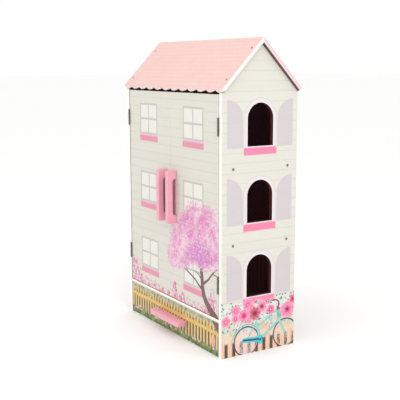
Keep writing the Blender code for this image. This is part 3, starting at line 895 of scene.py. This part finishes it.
def paint_side_fence(sheet):
    """Peach pickets behind the bicycle."""
    v = sheet.v
    cloud = sheet.noise(10.0, 3.0)
    top = sheet.linear(sheet.noise(26.0, 2.0), 40.0, 112.0)
    sheet.cover(
        sheet.ramp(v, top + 8.0, top - 8.0) * sheet.ramp(cloud, 0.4, 0.58) * 0.85,
        srgb(232, 240, 234),
    )
    back = sheet.noise(7.0, 2.0)
    gap = sheet.shade(srgb(214, 232, 218), back, 0.42, 0.6, 1.0, srgb(244, 214, 216))
    low = sheet.shade(PLUM, back, 0.4, 0.6, 1.0, srgb(96, 88, 52))
    gap = sheet.shade(gap, v, 40.0, 32.0, 1.0, low)
    sheet.cover(sheet.ramp(v, 92.0, 80.0), gap)
    own = sheet.wrap(sheet.u - 6.0, SIDE_PICKET_PITCH / 2)
    tip = sheet.linear(abs(own), -1.0, SIDE_PICKET_TIP)
    shape = sheet.most(abs(own) - SIDE_PICKET_HALF, v - tip)
    wood = sheet.mixed(PEACH, srgb(252, 218, 188), 2.6, 3.0, 0.4, 0.65, (1.0, 1.0, 14.0))
    wood = sheet.shade(wood, own, 3.0, SIDE_PICKET_HALF, 0.4, srgb(222, 150, 124))
    sheet.fill(shape, wood)
    rail = abs(v - SIDE_RAIL[0]) - SIDE_RAIL[1]
    sheet.fill(rail, srgb(253, 214, 186), 0.85)


# Bicycle: places on the side wall, across and up
REAR_HUB = (-38.0, 34.0)
FRONT_HUB = (86.0, 36.0)
WHEEL_RADIUS = 38.0
CRANK = (6.0, 31.0)
SEAT = (-8.0, 80.0)
HEAD_LOW = (66.0, 74.0)
HEAD_HIGH = (60.0, 104.0)
GRIP = (44.0, 130.0)


def paint_wheel(sheet, hub, fill):
    """A spoked wheel with a dark tyre."""
    disc = sheet.disc(sheet.at(sheet.u, sheet.v), hub, WHEEL_RADIUS)
    mottle = sheet.noise(8.0, 3.0)
    sheet.cover(sheet.inside(disc) * sheet.ramp(mottle, 0.35, 0.6) * 0.5, fill)
    turn = sheet.math("ARCTAN2", sheet.v - hub[1], sheet.u - hub[0])
    spokes = abs(sheet.math("SINE", turn * 9.0))
    thin = sheet.inside(spokes * (disc + WHEEL_RADIUS) - 4.5, 1.0)
    sheet.cover(sheet.inside(disc) * thin * 0.55, srgb(246, 244, 240))
    sheet.fill(abs(disc + 3.6) - 0.7, srgb(214, 222, 226))
    rubber = sheet.shade(TYRE, sheet.v, 30.0, 6.0, 1.0, srgb(110, 48, 64))
    sheet.fill(abs(disc) - 1.8, rubber)
    sheet.fill(disc + WHEEL_RADIUS - 4.0, NAVY)
    sheet.fill(disc + WHEEL_RADIUS - 1.6, LILAC)


def paint_bicycle(sheet):
    """The frame, fender and chain guard of a teal bicycle."""
    spot = sheet.at(sheet.u, sheet.v)
    fender = sheet.most(
        abs(sheet.disc(spot, REAR_HUB, WHEEL_RADIUS + 6.0)) - 1.6, 44.0 - sheet.v
    )
    sheet.fill(fender, TEAL)
    tubes = sheet.least(
        sheet.rod(spot, CRANK, SEAT, 4.2, 3.6),
        sheet.rod(spot, CRANK, HEAD_LOW, 3.6, 3.6),
        sheet.rod(spot, (-4.0, 66.0), HEAD_HIGH, 2.8, 2.8),
        sheet.rod(spot, REAR_HUB, SEAT, 2.2, 1.8),
        sheet.rod(spot, FRONT_HUB, HEAD_LOW, 2.6, 4.0),
        sheet.rod(spot, HEAD_LOW, HEAD_HIGH, 4.6, 4.6),
    )
    metal = sheet.shade(srgb(160, 220, 212), tubes, -3.4, -0.4, 0.5, TEAL)
    metal = sheet.shade(metal, tubes, -0.9, 0.0, 0.7, srgb(82, 158, 160))
    sheet.fill(tubes, metal)
    guard = sheet.rod(spot, (REAR_HUB[0] - 8.0, 37.0), (2.0, 33.0), 6.0, 8.0)
    box = sheet.block(sheet.u, sheet.v, CRANK, (6.8, 11.5))
    sheet.fill(sheet.least(guard, box), CYAN)
    bar = sheet.rod(spot, (-46.0, 37.0), (0.0, 33.0), 2.6, 2.6)
    pedal = sheet.rod(spot, (12.0, 34.0), (22.0, 26.0), 1.8, 1.8)
    dark = sheet.least(bar, pedal, sheet.disc(spot, CRANK, 3.4))
    sheet.fill(dark, NAVY)
    lamp = sheet.oval(sheet.u, sheet.v, (17.0, 66.0), (6.0, 9.0))
    sheet.cover(sheet.ramp(lamp, 1.06, 0.94), srgb(250, 190, 172))
    basket = sheet.block(sheet.u, sheet.v, (67.0, 94.0), (7.5, 13.0))
    weave = abs(sheet.wrap(sheet.u + sheet.v, 2.5)) + abs(sheet.wrap(sheet.u - sheet.v, 2.5))
    wicker = sheet.shade(srgb(120, 178, 168), weave, 1.6, 3.0, 1.0, TEAL)
    sheet.fill(basket, wicker)


def paint_handlebar(sheet):
    """The handlebar comes last, in front of the flowers."""
    spot = sheet.at(sheet.u, sheet.v)
    bar = sheet.stroke(
        spot, ((*GRIP, 1.8), (56.0, 129.5, 1.8), (63.0, 125.0, 1.8), (65.5, 116.0, 2.0),
               (*HEAD_HIGH, 2.2)),
    )
    sheet.fill(bar, srgb(74, 50, 54))
    sheet.fill(sheet.rod(spot, (60.0, 110.0), (66.0, 105.0), 2.8, 2.4), CRIMSON)


BIG_FLOWERS = (
    # middle, radius, petals, turn, outer tone, deep tone, heart
    ((-34.0, 130.0), 17.0, 6, 1.9, srgb(246, 130, 174), HOT_PINK, srgb(250, 180, 200)),
    ((-101.0, 95.0), 15.0, 5, 0.3, PETAL_PINK, HOT_PINK, srgb(255, 226, 160)),
    ((-72.0, 119.0), 15.0, 6, 1.1, srgb(246, 130, 178), HOT_PINK, srgb(255, 226, 160)),
    ((-72.0, 99.0), 12.0, 5, 2.0, PETAL_PINK, srgb(226, 70, 130), WHITE),
    ((-46.0, 103.0), 19.0, 6, 0.0, srgb(248, 120, 172), srgb(226, 60, 128), CRIMSON),
    ((-22.0, 120.0), 11.0, 5, 0.7, PETAL_PINK, HOT_PINK, srgb(255, 230, 170)),
    ((10.0, 119.0), 16.0, 6, 1.6, PETAL_PINK, CRIMSON, srgb(120, 20, 60)),
    ((-30.0, 89.0), 11.0, 5, 0.2, srgb(250, 150, 188), HOT_PINK, WHITE),
    ((-12.0, 104.0), 20.0, 7, 0.9, srgb(214, 62, 112), srgb(176, 30, 84), srgb(110, 14, 50)),
    ((38.0, 106.0), 14.0, 5, 2.4, srgb(250, 104, 164), srgb(232, 50, 124), WHITE),
    ((93.0, 98.0), 24.0, 5, 0.5, srgb(248, 132, 178), srgb(230, 70, 136), srgb(90, 24, 60)),
    ((112.0, 124.0), 14.0, 5, 1.4, srgb(226, 70, 120), CRIMSON, srgb(110, 14, 50)),
    ((28.0, 131.0), 10.0, 5, 0.1, srgb(236, 130, 164), srgb(222, 96, 146), WHITE),
)


def in_band(sheet, low, high, share):
    """Presence of a share of the leaves or flowers between two heights."""

    def presence(at_u, at_v, chance):
        band = sheet.inside(sheet.most(low - at_v, at_v - high), 3.0)
        return band * sheet.inside(chance - share, 0.02)

    return presence


def paint_garden_leaves(sheet):
    """Leaves and small flowers behind the bicycle."""
    sprigs = sheet.noise(7.0, 3.0)
    band = sheet.inside(sheet.most(58.0 - sheet.v, sheet.v - 104.0), 9.0)
    sheet.cover(band * sheet.ramp(sprigs, 0.44, 0.54) * 0.85, srgb(190, 228, 208))
    sheet.cover(band * sheet.ramp(sprigs, 0.58, 0.66) * 0.7, srgb(112, 170, 152))
    paint_leaves(sheet, 15.0, 2.3, in_band(sheet, 56, 138, 0.7), MINT, srgb(84, 146, 134))
    paint_leaves(sheet, 10.0, 6.6, in_band(sheet, 66, 138, 0.45), srgb(214, 236, 222), MINT)
    paint_leaves(sheet, 9.0, 15.5, in_band(sheet, 60, 146, 0.22), PLUM, srgb(60, 84, 84))
    paint_blossoms(
        sheet, 10.0, 25.1, in_band(sheet, 62, 128, 0.45), (WHITE, ROSE_PALE), ROSE
    )


def paint_front_flowers(sheet):
    """Small flowers in front of the bicycle."""
    paint_blossoms(
        sheet, 11.0, 61.7, in_band(sheet, 86, 126, 0.4), (ROSE_PALE, PETAL_PINK), HOT_PINK
    )


def paint_room_side(sheet):
    """Puts wallpaper on a side wall's inner face and lacquer on its edges, with painted shade, a
    dark red-brown, on the reveals of its holes.
    """
    outside = sheet.colour
    plain = plain_lacquer(sheet)
    # Painted shade: where the edges pass through the holes, the reveals are dark red-brown.
    near_hole = sheet.inside(abs(sheet.u) - HOLE_HALF - 1.2)
    reveal = sheet.blend(near_hole, plain, srgb(96, 52, 56))
    sheet.colour = ROOM_RED
    paint_room(sheet)
    side = abs(sheet.x)
    indoors = sheet.inside(side - WALL_INNER - FACE_DEPTH, 0.1)
    hidden = sheet.blend(indoors, reveal, sheet.colour)
    on_face = sheet.inside(HALF_WIDTH - FACE_DEPTH - side, 0.1)
    sheet.colour = sheet.blend(on_face, hidden, outside)


def side_wall_material():
    sheet = Finish("side_print", WALL_CREAM, "side")
    for painter in (
        paint_siding, paint_shutters, paint_window_trim, paint_side_fence, paint_garden_leaves,
    ):
        sheet.lay(painter)
    sheet.lay(paint_wheel, REAR_HUB, srgb(246, 222, 226))
    sheet.lay(paint_wheel, FRONT_HUB, TAN)
    sheet.lay(paint_bicycle)
    sheet.lay(paint_front_flowers)
    for flower in BIG_FLOWERS:
        sheet.lay(paint_rose, *flower)
    sheet.lay(paint_handlebar)
    sheet.lay(paint_room_side)
    return finish_board(sheet)


# ---- Roof, floors, back, handles, wood and metal --------------------------------------------
ROOF_PITCH = math.radians(46.0)
GABLE_LIGHT = 6.0               # how far down a roof board's end its gable colour reaches; below it the end is painted the wall's cream as painted shade
TILE_ROW = 14.0
TILE_WIDTH = 22.0


def roof_material(name, gable_colour):
    """Pink lacquer with a faint print of rounded tiles. The underside and the lower parts of the
    edges carry painted shade; the upper part of the cut edges is cream-white, partly painted
    highlight.
    """
    sheet = Finish(name, ROOF_PINK)
    depth = (RIDGE - sheet.z) * math.cos(ROOF_PITCH) - abs(sheet.y) * math.sin(ROOF_PITCH)
    along = (RIDGE - sheet.z) / math.sin(ROOF_PITCH)
    row, within = sheet.rows(along, TILE_ROW)
    shifted = sheet.linear(row, TILE_WIDTH / 2, sheet.x)
    own = sheet.wrap(shifted, TILE_WIDTH / 2)
    belly = sheet.linear(own * own, -3.6 / (TILE_WIDTH / 2) ** 2, TILE_ROW)
    lip = belly - within
    column = sheet.math("FLOOR", (shifted - TILE_WIDTH / 2) / TILE_WIDTH)
    sheet.cover(sheet.cell(row, column) * 0.22, srgb(250, 196, 190))
    sheet.tint(lip, 5.0, 0.0, 0.22, ROOF_LINE)
    sheet.fill(abs(lip) - 0.7, ROOF_LINE, 0.75)
    sheet.tint(within, 2.0, 0.0, 0.30, srgb(255, 226, 218))
    sheet.mottle(60.0, 4.0, 0.5, 0.75, 0.12, srgb(236, 180, 176))
    grain = sheet.noise(3.0, 3.0)
    # Painted shade: the underside and the lowest part of each cut edge are dark plum, the pink
    # lacquer as it looks in shadow.
    painted_underside_shade = sheet.shade(srgb(112, 74, 80), grain, 0.4, 0.7, 0.3, srgb(86, 56, 62))
    # The top 7.5 mm of each cut edge is cream-white: partly the board's pale edge, partly painted
    # highlight.
    rim = sheet.blend(sheet.inside(7.5 - depth, 0.4), srgb(255, 236, 228), painted_underside_shade)
    sheet.colour = sheet.blend(sheet.inside(depth - FACE_DEPTH, 0.15), rim, sheet.colour)
    # Painted shade: each gable end is painted the wall's cream as its shade colour, and only the
    # top GABLE_LIGHT keeps the board's gable colour.
    at_gable = sheet.inside(GABLE_END - FACE_DEPTH - abs(sheet.x), 0.1)
    sheet.cover(at_gable, WALL_CREAM)
    sheet.cover(at_gable * sheet.inside(depth - GABLE_LIGHT), gable_colour)
    return sheet.done(
        lacquer_roughness(sheet, 0.42), relief=board_relief(sheet), relief_depth=5e-5
    )


PLANK_WIDTH = 17.0
PLANK_LENGTH = 150.0
PLANK_STEP = 57.0               # each row of planks starts this much further along


def floor_material():
    """Floors: printed dark planks on top, cream lacquer on the edges and below, with painted
    shade on the lower part of each edge and underneath.
    """
    sheet = Finish("floor_print", FLOOR_WOOD)
    row, seam = sheet.rows(sheet.y, PLANK_WIDTH)
    plank, end = sheet.rows(sheet.linear(row, PLANK_STEP, sheet.x), PLANK_LENGTH)
    sheet.cover(sheet.cell(row, plank) * 0.45, srgb(112, 72, 58))
    grain = sheet.noise(3.0, 4.0, grain=(16.0, 1.0, 1.0))
    sheet.tint(grain, 0.45, 0.7, 0.4, srgb(92, 58, 46))
    sheet.fill(sheet.least(seam, end) - 0.6, FLOOR_SEAM, 0.85)
    from_top = abs(sheet.wrap(sheet.z - FLOOR_TOPS[0], STOREY / 2))
    on_top = sheet.inside(from_top - FACE_DEPTH, 0.1)
    lacquer = plain_lacquer(sheet)
    # Painted shade: more than 6.5 mm below a floor's top, on the lower arris of each edge and
    # underneath, the lacquer turns a duller cream.
    lacquer = sheet.blend(sheet.inside(6.5 - from_top) * 0.8, lacquer, srgb(226, 212, 196))
    sheet.colour = sheet.blend(on_top, lacquer, sheet.colour)
    return sheet.done(lacquer_roughness(sheet, 0.5), relief=grain, relief_depth=5e-5)


def back_material():
    """The back panel: wallpaper inside, bare hardboard behind."""
    sheet = Finish("back_board_print", ROOM_RED)
    sheet.lay(paint_room)
    room = sheet.colour
    sheet.colour = HARDBOARD
    fibres = sheet.noise(1.4, 4.0, grain=(5.0, 1.0, 3.0))
    sheet.mottle(45.0, 4.0, 0.35, 0.7, 0.45, srgb(168, 128, 90))
    sheet.tint(fibres, 0.48, 0.66, 0.6, HARDBOARD_DARK)
    sheet.tint(fibres, 0.40, 0.30, 0.4, srgb(196, 160, 120))
    inner = sheet.inside(sheet.y - BACK_FRONT - FACE_DEPTH, 0.1)
    sheet.colour = sheet.blend(inner, sheet.colour, room)
    matt = sheet.linear(fibres, 0.2, 0.6)
    return sheet.done(matt, relief=fibres, relief_depth=8e-5)


def handle_material():
    """Pink satin lacquer, paler where it has been handled."""
    sheet = Finish("handle_lacquer", HANDLE_PINK)
    sheet.mottle(24.0, 3.0, 0.4, 0.7, 0.25, srgb(255, 200, 212))
    reach = sheet.ramp(sheet.y, FRONT - 16.0, FRONT - 27.0)
    rub = sheet.noise(5.0, 4.0)
    sheet.cover(reach * sheet.ramp(rub, 0.5, 0.7) * 0.35, srgb(255, 214, 222))
    sheet.mottle(1.2, 2.0, 0.62, 0.72, 0.18, srgb(228, 140, 160))
    return sheet.done(
        lacquer_roughness(sheet, 0.38), relief=board_relief(sheet), relief_depth=5e-5
    )


def drawer_wood_material():
    """Bare light plywood."""
    sheet = Finish("drawer_plywood", BOX_WOOD)
    rings = sheet.noise(4.0, 4.0, grain=(22.0, 22.0, 1.0))
    sheet.tint(rings, 0.42, 0.62, 0.6, BOX_GRAIN)
    sheet.mottle(0.9, 2.0, 0.56, 0.7, 0.4, srgb(150, 110, 70), (14.0, 14.0, 1.0))
    sheet.mottle(70.0, 2.0, 0.4, 0.7, 0.3, srgb(236, 212, 172))
    bare = sheet.linear(rings, 0.2, 0.52)
    return sheet.done(bare, relief=rings, relief_depth=6e-5)


def metal_material(name, colour, dark, roughness):
    """Plated steel with fine scratches and a few dull spots."""
    sheet = Finish(name, colour)
    scratch = sheet.noise(0.5, 3.0, grain=(1.0, 1.0, 9.0))
    spots = sheet.noise(2.5, 3.0)
    sheet.tint(scratch, 0.5, 0.7, 0.5, dark)
    sheet.tint(spots, 0.5, 0.72, 0.6, dark)
    dull = sheet.linear(spots, 0.3, roughness - 0.15)
    return sheet.done(dull, metallic=1.0, relief=scratch, relief_depth=2e-5)


def dress(material, names):
    for name in names:
        for slot in NODES[name].material_slots:
            slot.material = material


def dress_nodes():
    """Gives every CAD node its material, and returns the screws' metal."""
    dress(door_material(), ("door_left", "door_right"))
    dress(drawer_front_material(), ("drawer_front",))
    dress(side_wall_material(), ("side_wall_left", "side_wall_right"))
    dress(roof_material("roof_front_print", srgb(255, 250, 240, 0.95)), ("roof_front",))
    dress(roof_material("roof_rear_print", srgb(252, 204, 214)), ("roof_rear",))
    dress(floor_material(), ("base_board", "ground_floor", "first_floor", "second_floor"))
    dress(back_material(), ("back_panel",))
    box_parts = ("drawer_side_left", "drawer_side_right", "drawer_back", "drawer_bottom")
    dress(drawer_wood_material(), box_parts)
    dress(handle_material(), ("door_handle_left", "door_handle_right", "drawer_handle"))
    zinc = metal_material("zinc_plate", ZINC, srgb(92, 94, 92), 0.4)
    dress(zinc, [name for name in NODES if "screw" in name])
    steel = metal_material("hinge_plate", STEEL, srgb(92, 88, 84), 0.34)
    dress(steel, [name for name in NODES if name.startswith("hinge")])
    return zinc


zinc = dress_nodes()


# ---- Added pieces: what the photo shows and the CAD leaves out --------------------------------
def add_piece(name, bm, material, body):
    """Makes a piece. Its faces are sorted, since bevel and weld list them in any order."""
    bmesh.ops.recalc_face_normals(bm, faces=bm.faces)
    bm.verts.index_update()
    faces = []
    for face in bm.faces:
        corners = [vert.index for vert in face.verts]
        start = corners.index(min(corners))
        faces.append(corners[start:] + corners[:start])
    mesh = bpy.data.meshes.new(name)
    mesh.from_pydata([tuple(vert.co) for vert in bm.verts], [], sorted(faces))
    bm.free()
    mesh.materials.append(material)
    piece = bpy.data.objects.new(name, mesh)
    bpy.context.scene.collection.objects.link(piece)
    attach(piece, body)


def eased_bar(low, high, thick_axis, corner, ease):
    """A bar between two corners in millimetres, its outline rounded and its rims eased."""
    bm = bmesh.new()
    bmesh.ops.create_cube(bm, size=1.0)
    bmesh.ops.scale(bm, vec=(high - low) / MM, verts=bm.verts)
    bmesh.ops.translate(bm, vec=(high + low) / 2 / MM, verts=bm.verts)

    def through(edge):
        along = (edge.verts[0].co - edge.verts[1].co).normalized()
        return abs(along[thick_axis]) > 0.9

    for wanted, width, segments in ((True, corner, 6), (False, ease, 2)):
        edges = [edge for edge in bm.edges if through(edge) == wanted]
        bmesh.ops.bevel(
            bm, geom=edges, offset=width / MM, segments=segments, profile=0.5, affect="EDGES"
        )
    return bm


WEB_RECESS = 3.0         # from a handle's side to the face of the web in its slot
HANDLE_FOOT = 22.0          # from a handle's end to its slot
WEB_DEPTH = 12.0         # from a handle's back to the front of the web
HANDLE_BACK = 2.4           # thickness of the strip that closes the slot at the back
HANDLE_PLAY = 0.1


def close_handle_slot(name, body, long_axis, thick_axis, back_paint, web_paint):
    """Closes a handle's slot with a web and a back strip; a dark web in the slot is painted
    shade.
    """
    low, high = (Vector(corner) for corner in box_mm(name))
    low[long_axis] += HANDLE_FOOT + HANDLE_PLAY
    high[long_axis] -= HANDLE_FOOT + HANDLE_PLAY
    strip_low, strip_high = low.copy(), high.copy()
    strip_low[thick_axis] += HANDLE_PLAY
    strip_high[thick_axis] -= HANDLE_PLAY
    strip_low.y = high.y - HANDLE_BACK
    strip = eased_bar(strip_low, strip_high, thick_axis, 0.6, 0.3)
    add_piece(name + "_back_strip", strip, back_paint, body)
    low[thick_axis] += WEB_RECESS
    high[thick_axis] -= WEB_RECESS
    low.y = high.y - WEB_DEPTH + HANDLE_PLAY
    high.y -= HANDLE_BACK + HANDLE_PLAY
    web = eased_bar(low, high, thick_axis, 3.0, 0.4)
    add_piece(name + "_slot_web", web, web_paint, body)


def slot_shade_material():
    """Painted shade for the open slot of a door handle: dark mauve, the pink lacquer as it looks
    in shadow, with paler streaks.
    """
    sheet = Finish("slot_shade_lacquer", srgb(150, 100, 112))
    sheet.mottle(12.0, 3.0, 0.4, 0.65, 0.5, srgb(128, 84, 98))
    cut = sheet.noise(1.5, 3.0, grain=(1.0, 1.0, 9.0))
    sheet.tint(cut, 0.5, 0.7, 0.3, srgb(176, 124, 134))
    return sheet.done(0.62, relief=cut, relief_depth=6e-5)


HEAD_PROFILE = (
    # share of the head's radius, and of how far it stands proud
    (0.0, 0.0), (1.0, 0.0), (0.96, 0.45), (0.78, 0.9), (0.5, 1.0), (0.42, 0.55), (0.0, 0.5),
)
HEAD_STEPS = 20
WELD = 1e-7                 # metres


def head_mesh(place, outward, radius, proud):
    """A dished screw or pin head, standing on a face at place in millimetres."""
    bm = bmesh.new()
    verts = [
        bm.verts.new((share * radius / MM, 0.0, up * proud / MM)) for share, up in HEAD_PROFILE
    ]
    edges = [bm.edges.new(pair) for pair in zip(verts, verts[1:])]
    bmesh.ops.spin(
        bm, geom=verts + edges, axis=(0, 0, 1), cent=(0, 0, 0), steps=HEAD_STEPS,
        angle=math.tau, use_merge=True,
    )
    bmesh.ops.remove_doubles(bm, verts=bm.verts, dist=WELD)
    bmesh.ops.dissolve_degenerate(bm, edges=bm.edges, dist=WELD)
    turn = Vector(outward).to_track_quat("Z", "Y").to_matrix().to_4x4()
    bmesh.ops.transform(
        bm, matrix=Matrix.Translation(Vector(place) / MM) @ turn, verts=bm.verts
    )
    return bm


LEAF_FACE = 236.87          # distance of the frame leaf's open face from the middle
DOOR_LEAF_FACE = 236.63     # and of the door leaf's
HINGE_LEAVES = (
    # leaf, face, distance in from the rear edge, how far the screw heads stand proud
    ("frame_leaf", LEAF_FACE, 2.2, 0.3),
    ("door_leaf", DOOR_LEAF_FACE, 3.6, 0.12),
)
HINGE_SCREW_RADIUS = 1.7
HINGE_SCREW_RISES = (-13.0, 13.0)   # from the middle of the leaf
PIN_HEAD_RADIUS = 2.2
PIN_HEAD_PROUD = 0.8
PIN_COLUMNS = (-190.0, -95.0, 0.0, 95.0, 190.0)


def add_hinge_screws():
    """Two screws in each leaf, on the face that shows when a door is open."""
    for label, side in (("left", -1), ("right", 1)):
        for row in ("lower", "upper"):
            for leaf, face, inset, proud in HINGE_LEAVES:
                on_door = leaf == "door_leaf"
                name = "hinge_%s_%s_%s" % (label, row, leaf)
                low, high = box_mm(name)
                middle = (low.z + high.z) / 2
                for number, rise in enumerate(HINGE_SCREW_RISES, 1):
                    place = (side * face, high.y - inset, middle + rise)
                    outward = (side if on_door else -side, 0, 0)
                    head = head_mesh(place, outward, HINGE_SCREW_RADIUS, proud)
                    body = "door_" + label if on_door else "house"
                    add_piece("%s_screw_%d" % (name, number), head, zinc, body)


def add_back_pins():
    """Pins that hold the back panel to the rear edge of each floor."""
    for floor in ("base_board", "ground_floor", "first_floor", "second_floor"):
        low, high = box_mm(floor)
        for number, x in enumerate(PIN_COLUMNS, 1):
            place = (x, BACK_REAR, (low.z + high.z) / 2)
            head = head_mesh(place, (0, 1, 0), PIN_HEAD_RADIUS, PIN_HEAD_PROUD)
            add_piece("back_pin_%s_%d" % (floor, number), head, zinc, "house")


back_paint = NODES["drawer_handle"].material_slots[0].material
web_paint = slot_shade_material()
# The door handles get dark webs of painted shade; the drawer handle's web is its own pink.
close_handle_slot("door_handle_left", "door_left", 2, 0, back_paint, web_paint)
close_handle_slot("door_handle_right", "door_right", 2, 0, back_paint, web_paint)
close_handle_slot("drawer_handle", "drawer", 0, 2, back_paint, back_paint)
add_hinge_screws()
add_back_pins()


# ---- Camera, floor and light ----------------------------------------------------------------
CAMERA_PLACE = Vector((1.86496, -1.17628, 0.73011))
CAMERA_TURN = math.radians(58.250)
CAMERA_DIP = math.radians(9.463)
CAMERA_ROLL = math.radians(-0.110)
CAMERA_LENS = 72.29
SENSOR = 36.0


def make_camera():
    forward = Vector((
        -math.sin(CAMERA_TURN) * math.cos(CAMERA_DIP),
        math.cos(CAMERA_TURN) * math.cos(CAMERA_DIP),
        -math.sin(CAMERA_DIP),
    ))
    level = Vector((math.cos(CAMERA_TURN), math.sin(CAMERA_TURN), 0.0))
    upright = level.cross(forward)
    right = level * math.cos(CAMERA_ROLL) + upright * math.sin(CAMERA_ROLL)
    up = upright * math.cos(CAMERA_ROLL) - level * math.sin(CAMERA_ROLL)
    data = bpy.data.cameras.new("camera")
    data.sensor_width = SENSOR
    data.lens = CAMERA_LENS
    camera = bpy.data.objects.new("camera", data)
    turn = Matrix((right, up, -forward)).transposed().to_4x4()
    camera.matrix_world = Matrix.Translation(CAMERA_PLACE) @ turn
    bpy.context.scene.collection.objects.link(camera)
    bpy.context.scene.camera = camera


FLOOR_REACH = 60.0          # metres, so far that its edge meets the horizon
SKY_STRENGTH = 1.03
AIM = Vector((0.0, 0.0, 0.4))
LIGHTS = (
    # name, place, size and power
    ("key", (2.6, -0.7, 2.0), 1.6, 26.0),
    ("fill", (-0.6, -2.8, 1.6), 2.0, 8.0),
)


def make_stage():
    mesh = bpy.data.meshes.new("studio_floor")
    corners = [(-1, -1), (1, -1), (1, 1), (-1, 1)]
    places = [(x * FLOOR_REACH, y * FLOOR_REACH, 0.0) for x, y in corners]
    mesh.from_pydata(places, [], [(0, 1, 2, 3)])
    floor = bpy.data.objects.new("studio_floor", mesh)
    bpy.context.scene.collection.objects.link(floor)
    sheet = Finish("studio_paper", (0.95, 0.95, 0.945, 1.0))
    sheet.mottle(400.0, 2.0, 0.4, 0.7, 0.05, (0.9, 0.9, 0.9, 1.0))
    mesh.materials.append(sheet.done(0.9))


def make_lights():
    scene = bpy.context.scene
    world = bpy.data.worlds.new("studio")
    world.use_nodes = True
    back = world.node_tree.nodes["Background"]
    back.inputs["Color"].default_value = (1.0, 1.0, 1.0, 1.0)
    back.inputs["Strength"].default_value = SKY_STRENGTH
    scene.world = world
    scene.view_settings.view_transform = "Standard"
    for name, place, size, power in LIGHTS:
        data = bpy.data.lights.new(name, "AREA")
        data.size = size
        data.energy = power
        light = bpy.data.objects.new(name, data)
        light.location = place
        light.rotation_euler = (AIM - Vector(place)).to_track_quat("-Z", "Y").to_euler()
        scene.collection.objects.link(light)


make_camera()
make_stage()
make_lights()
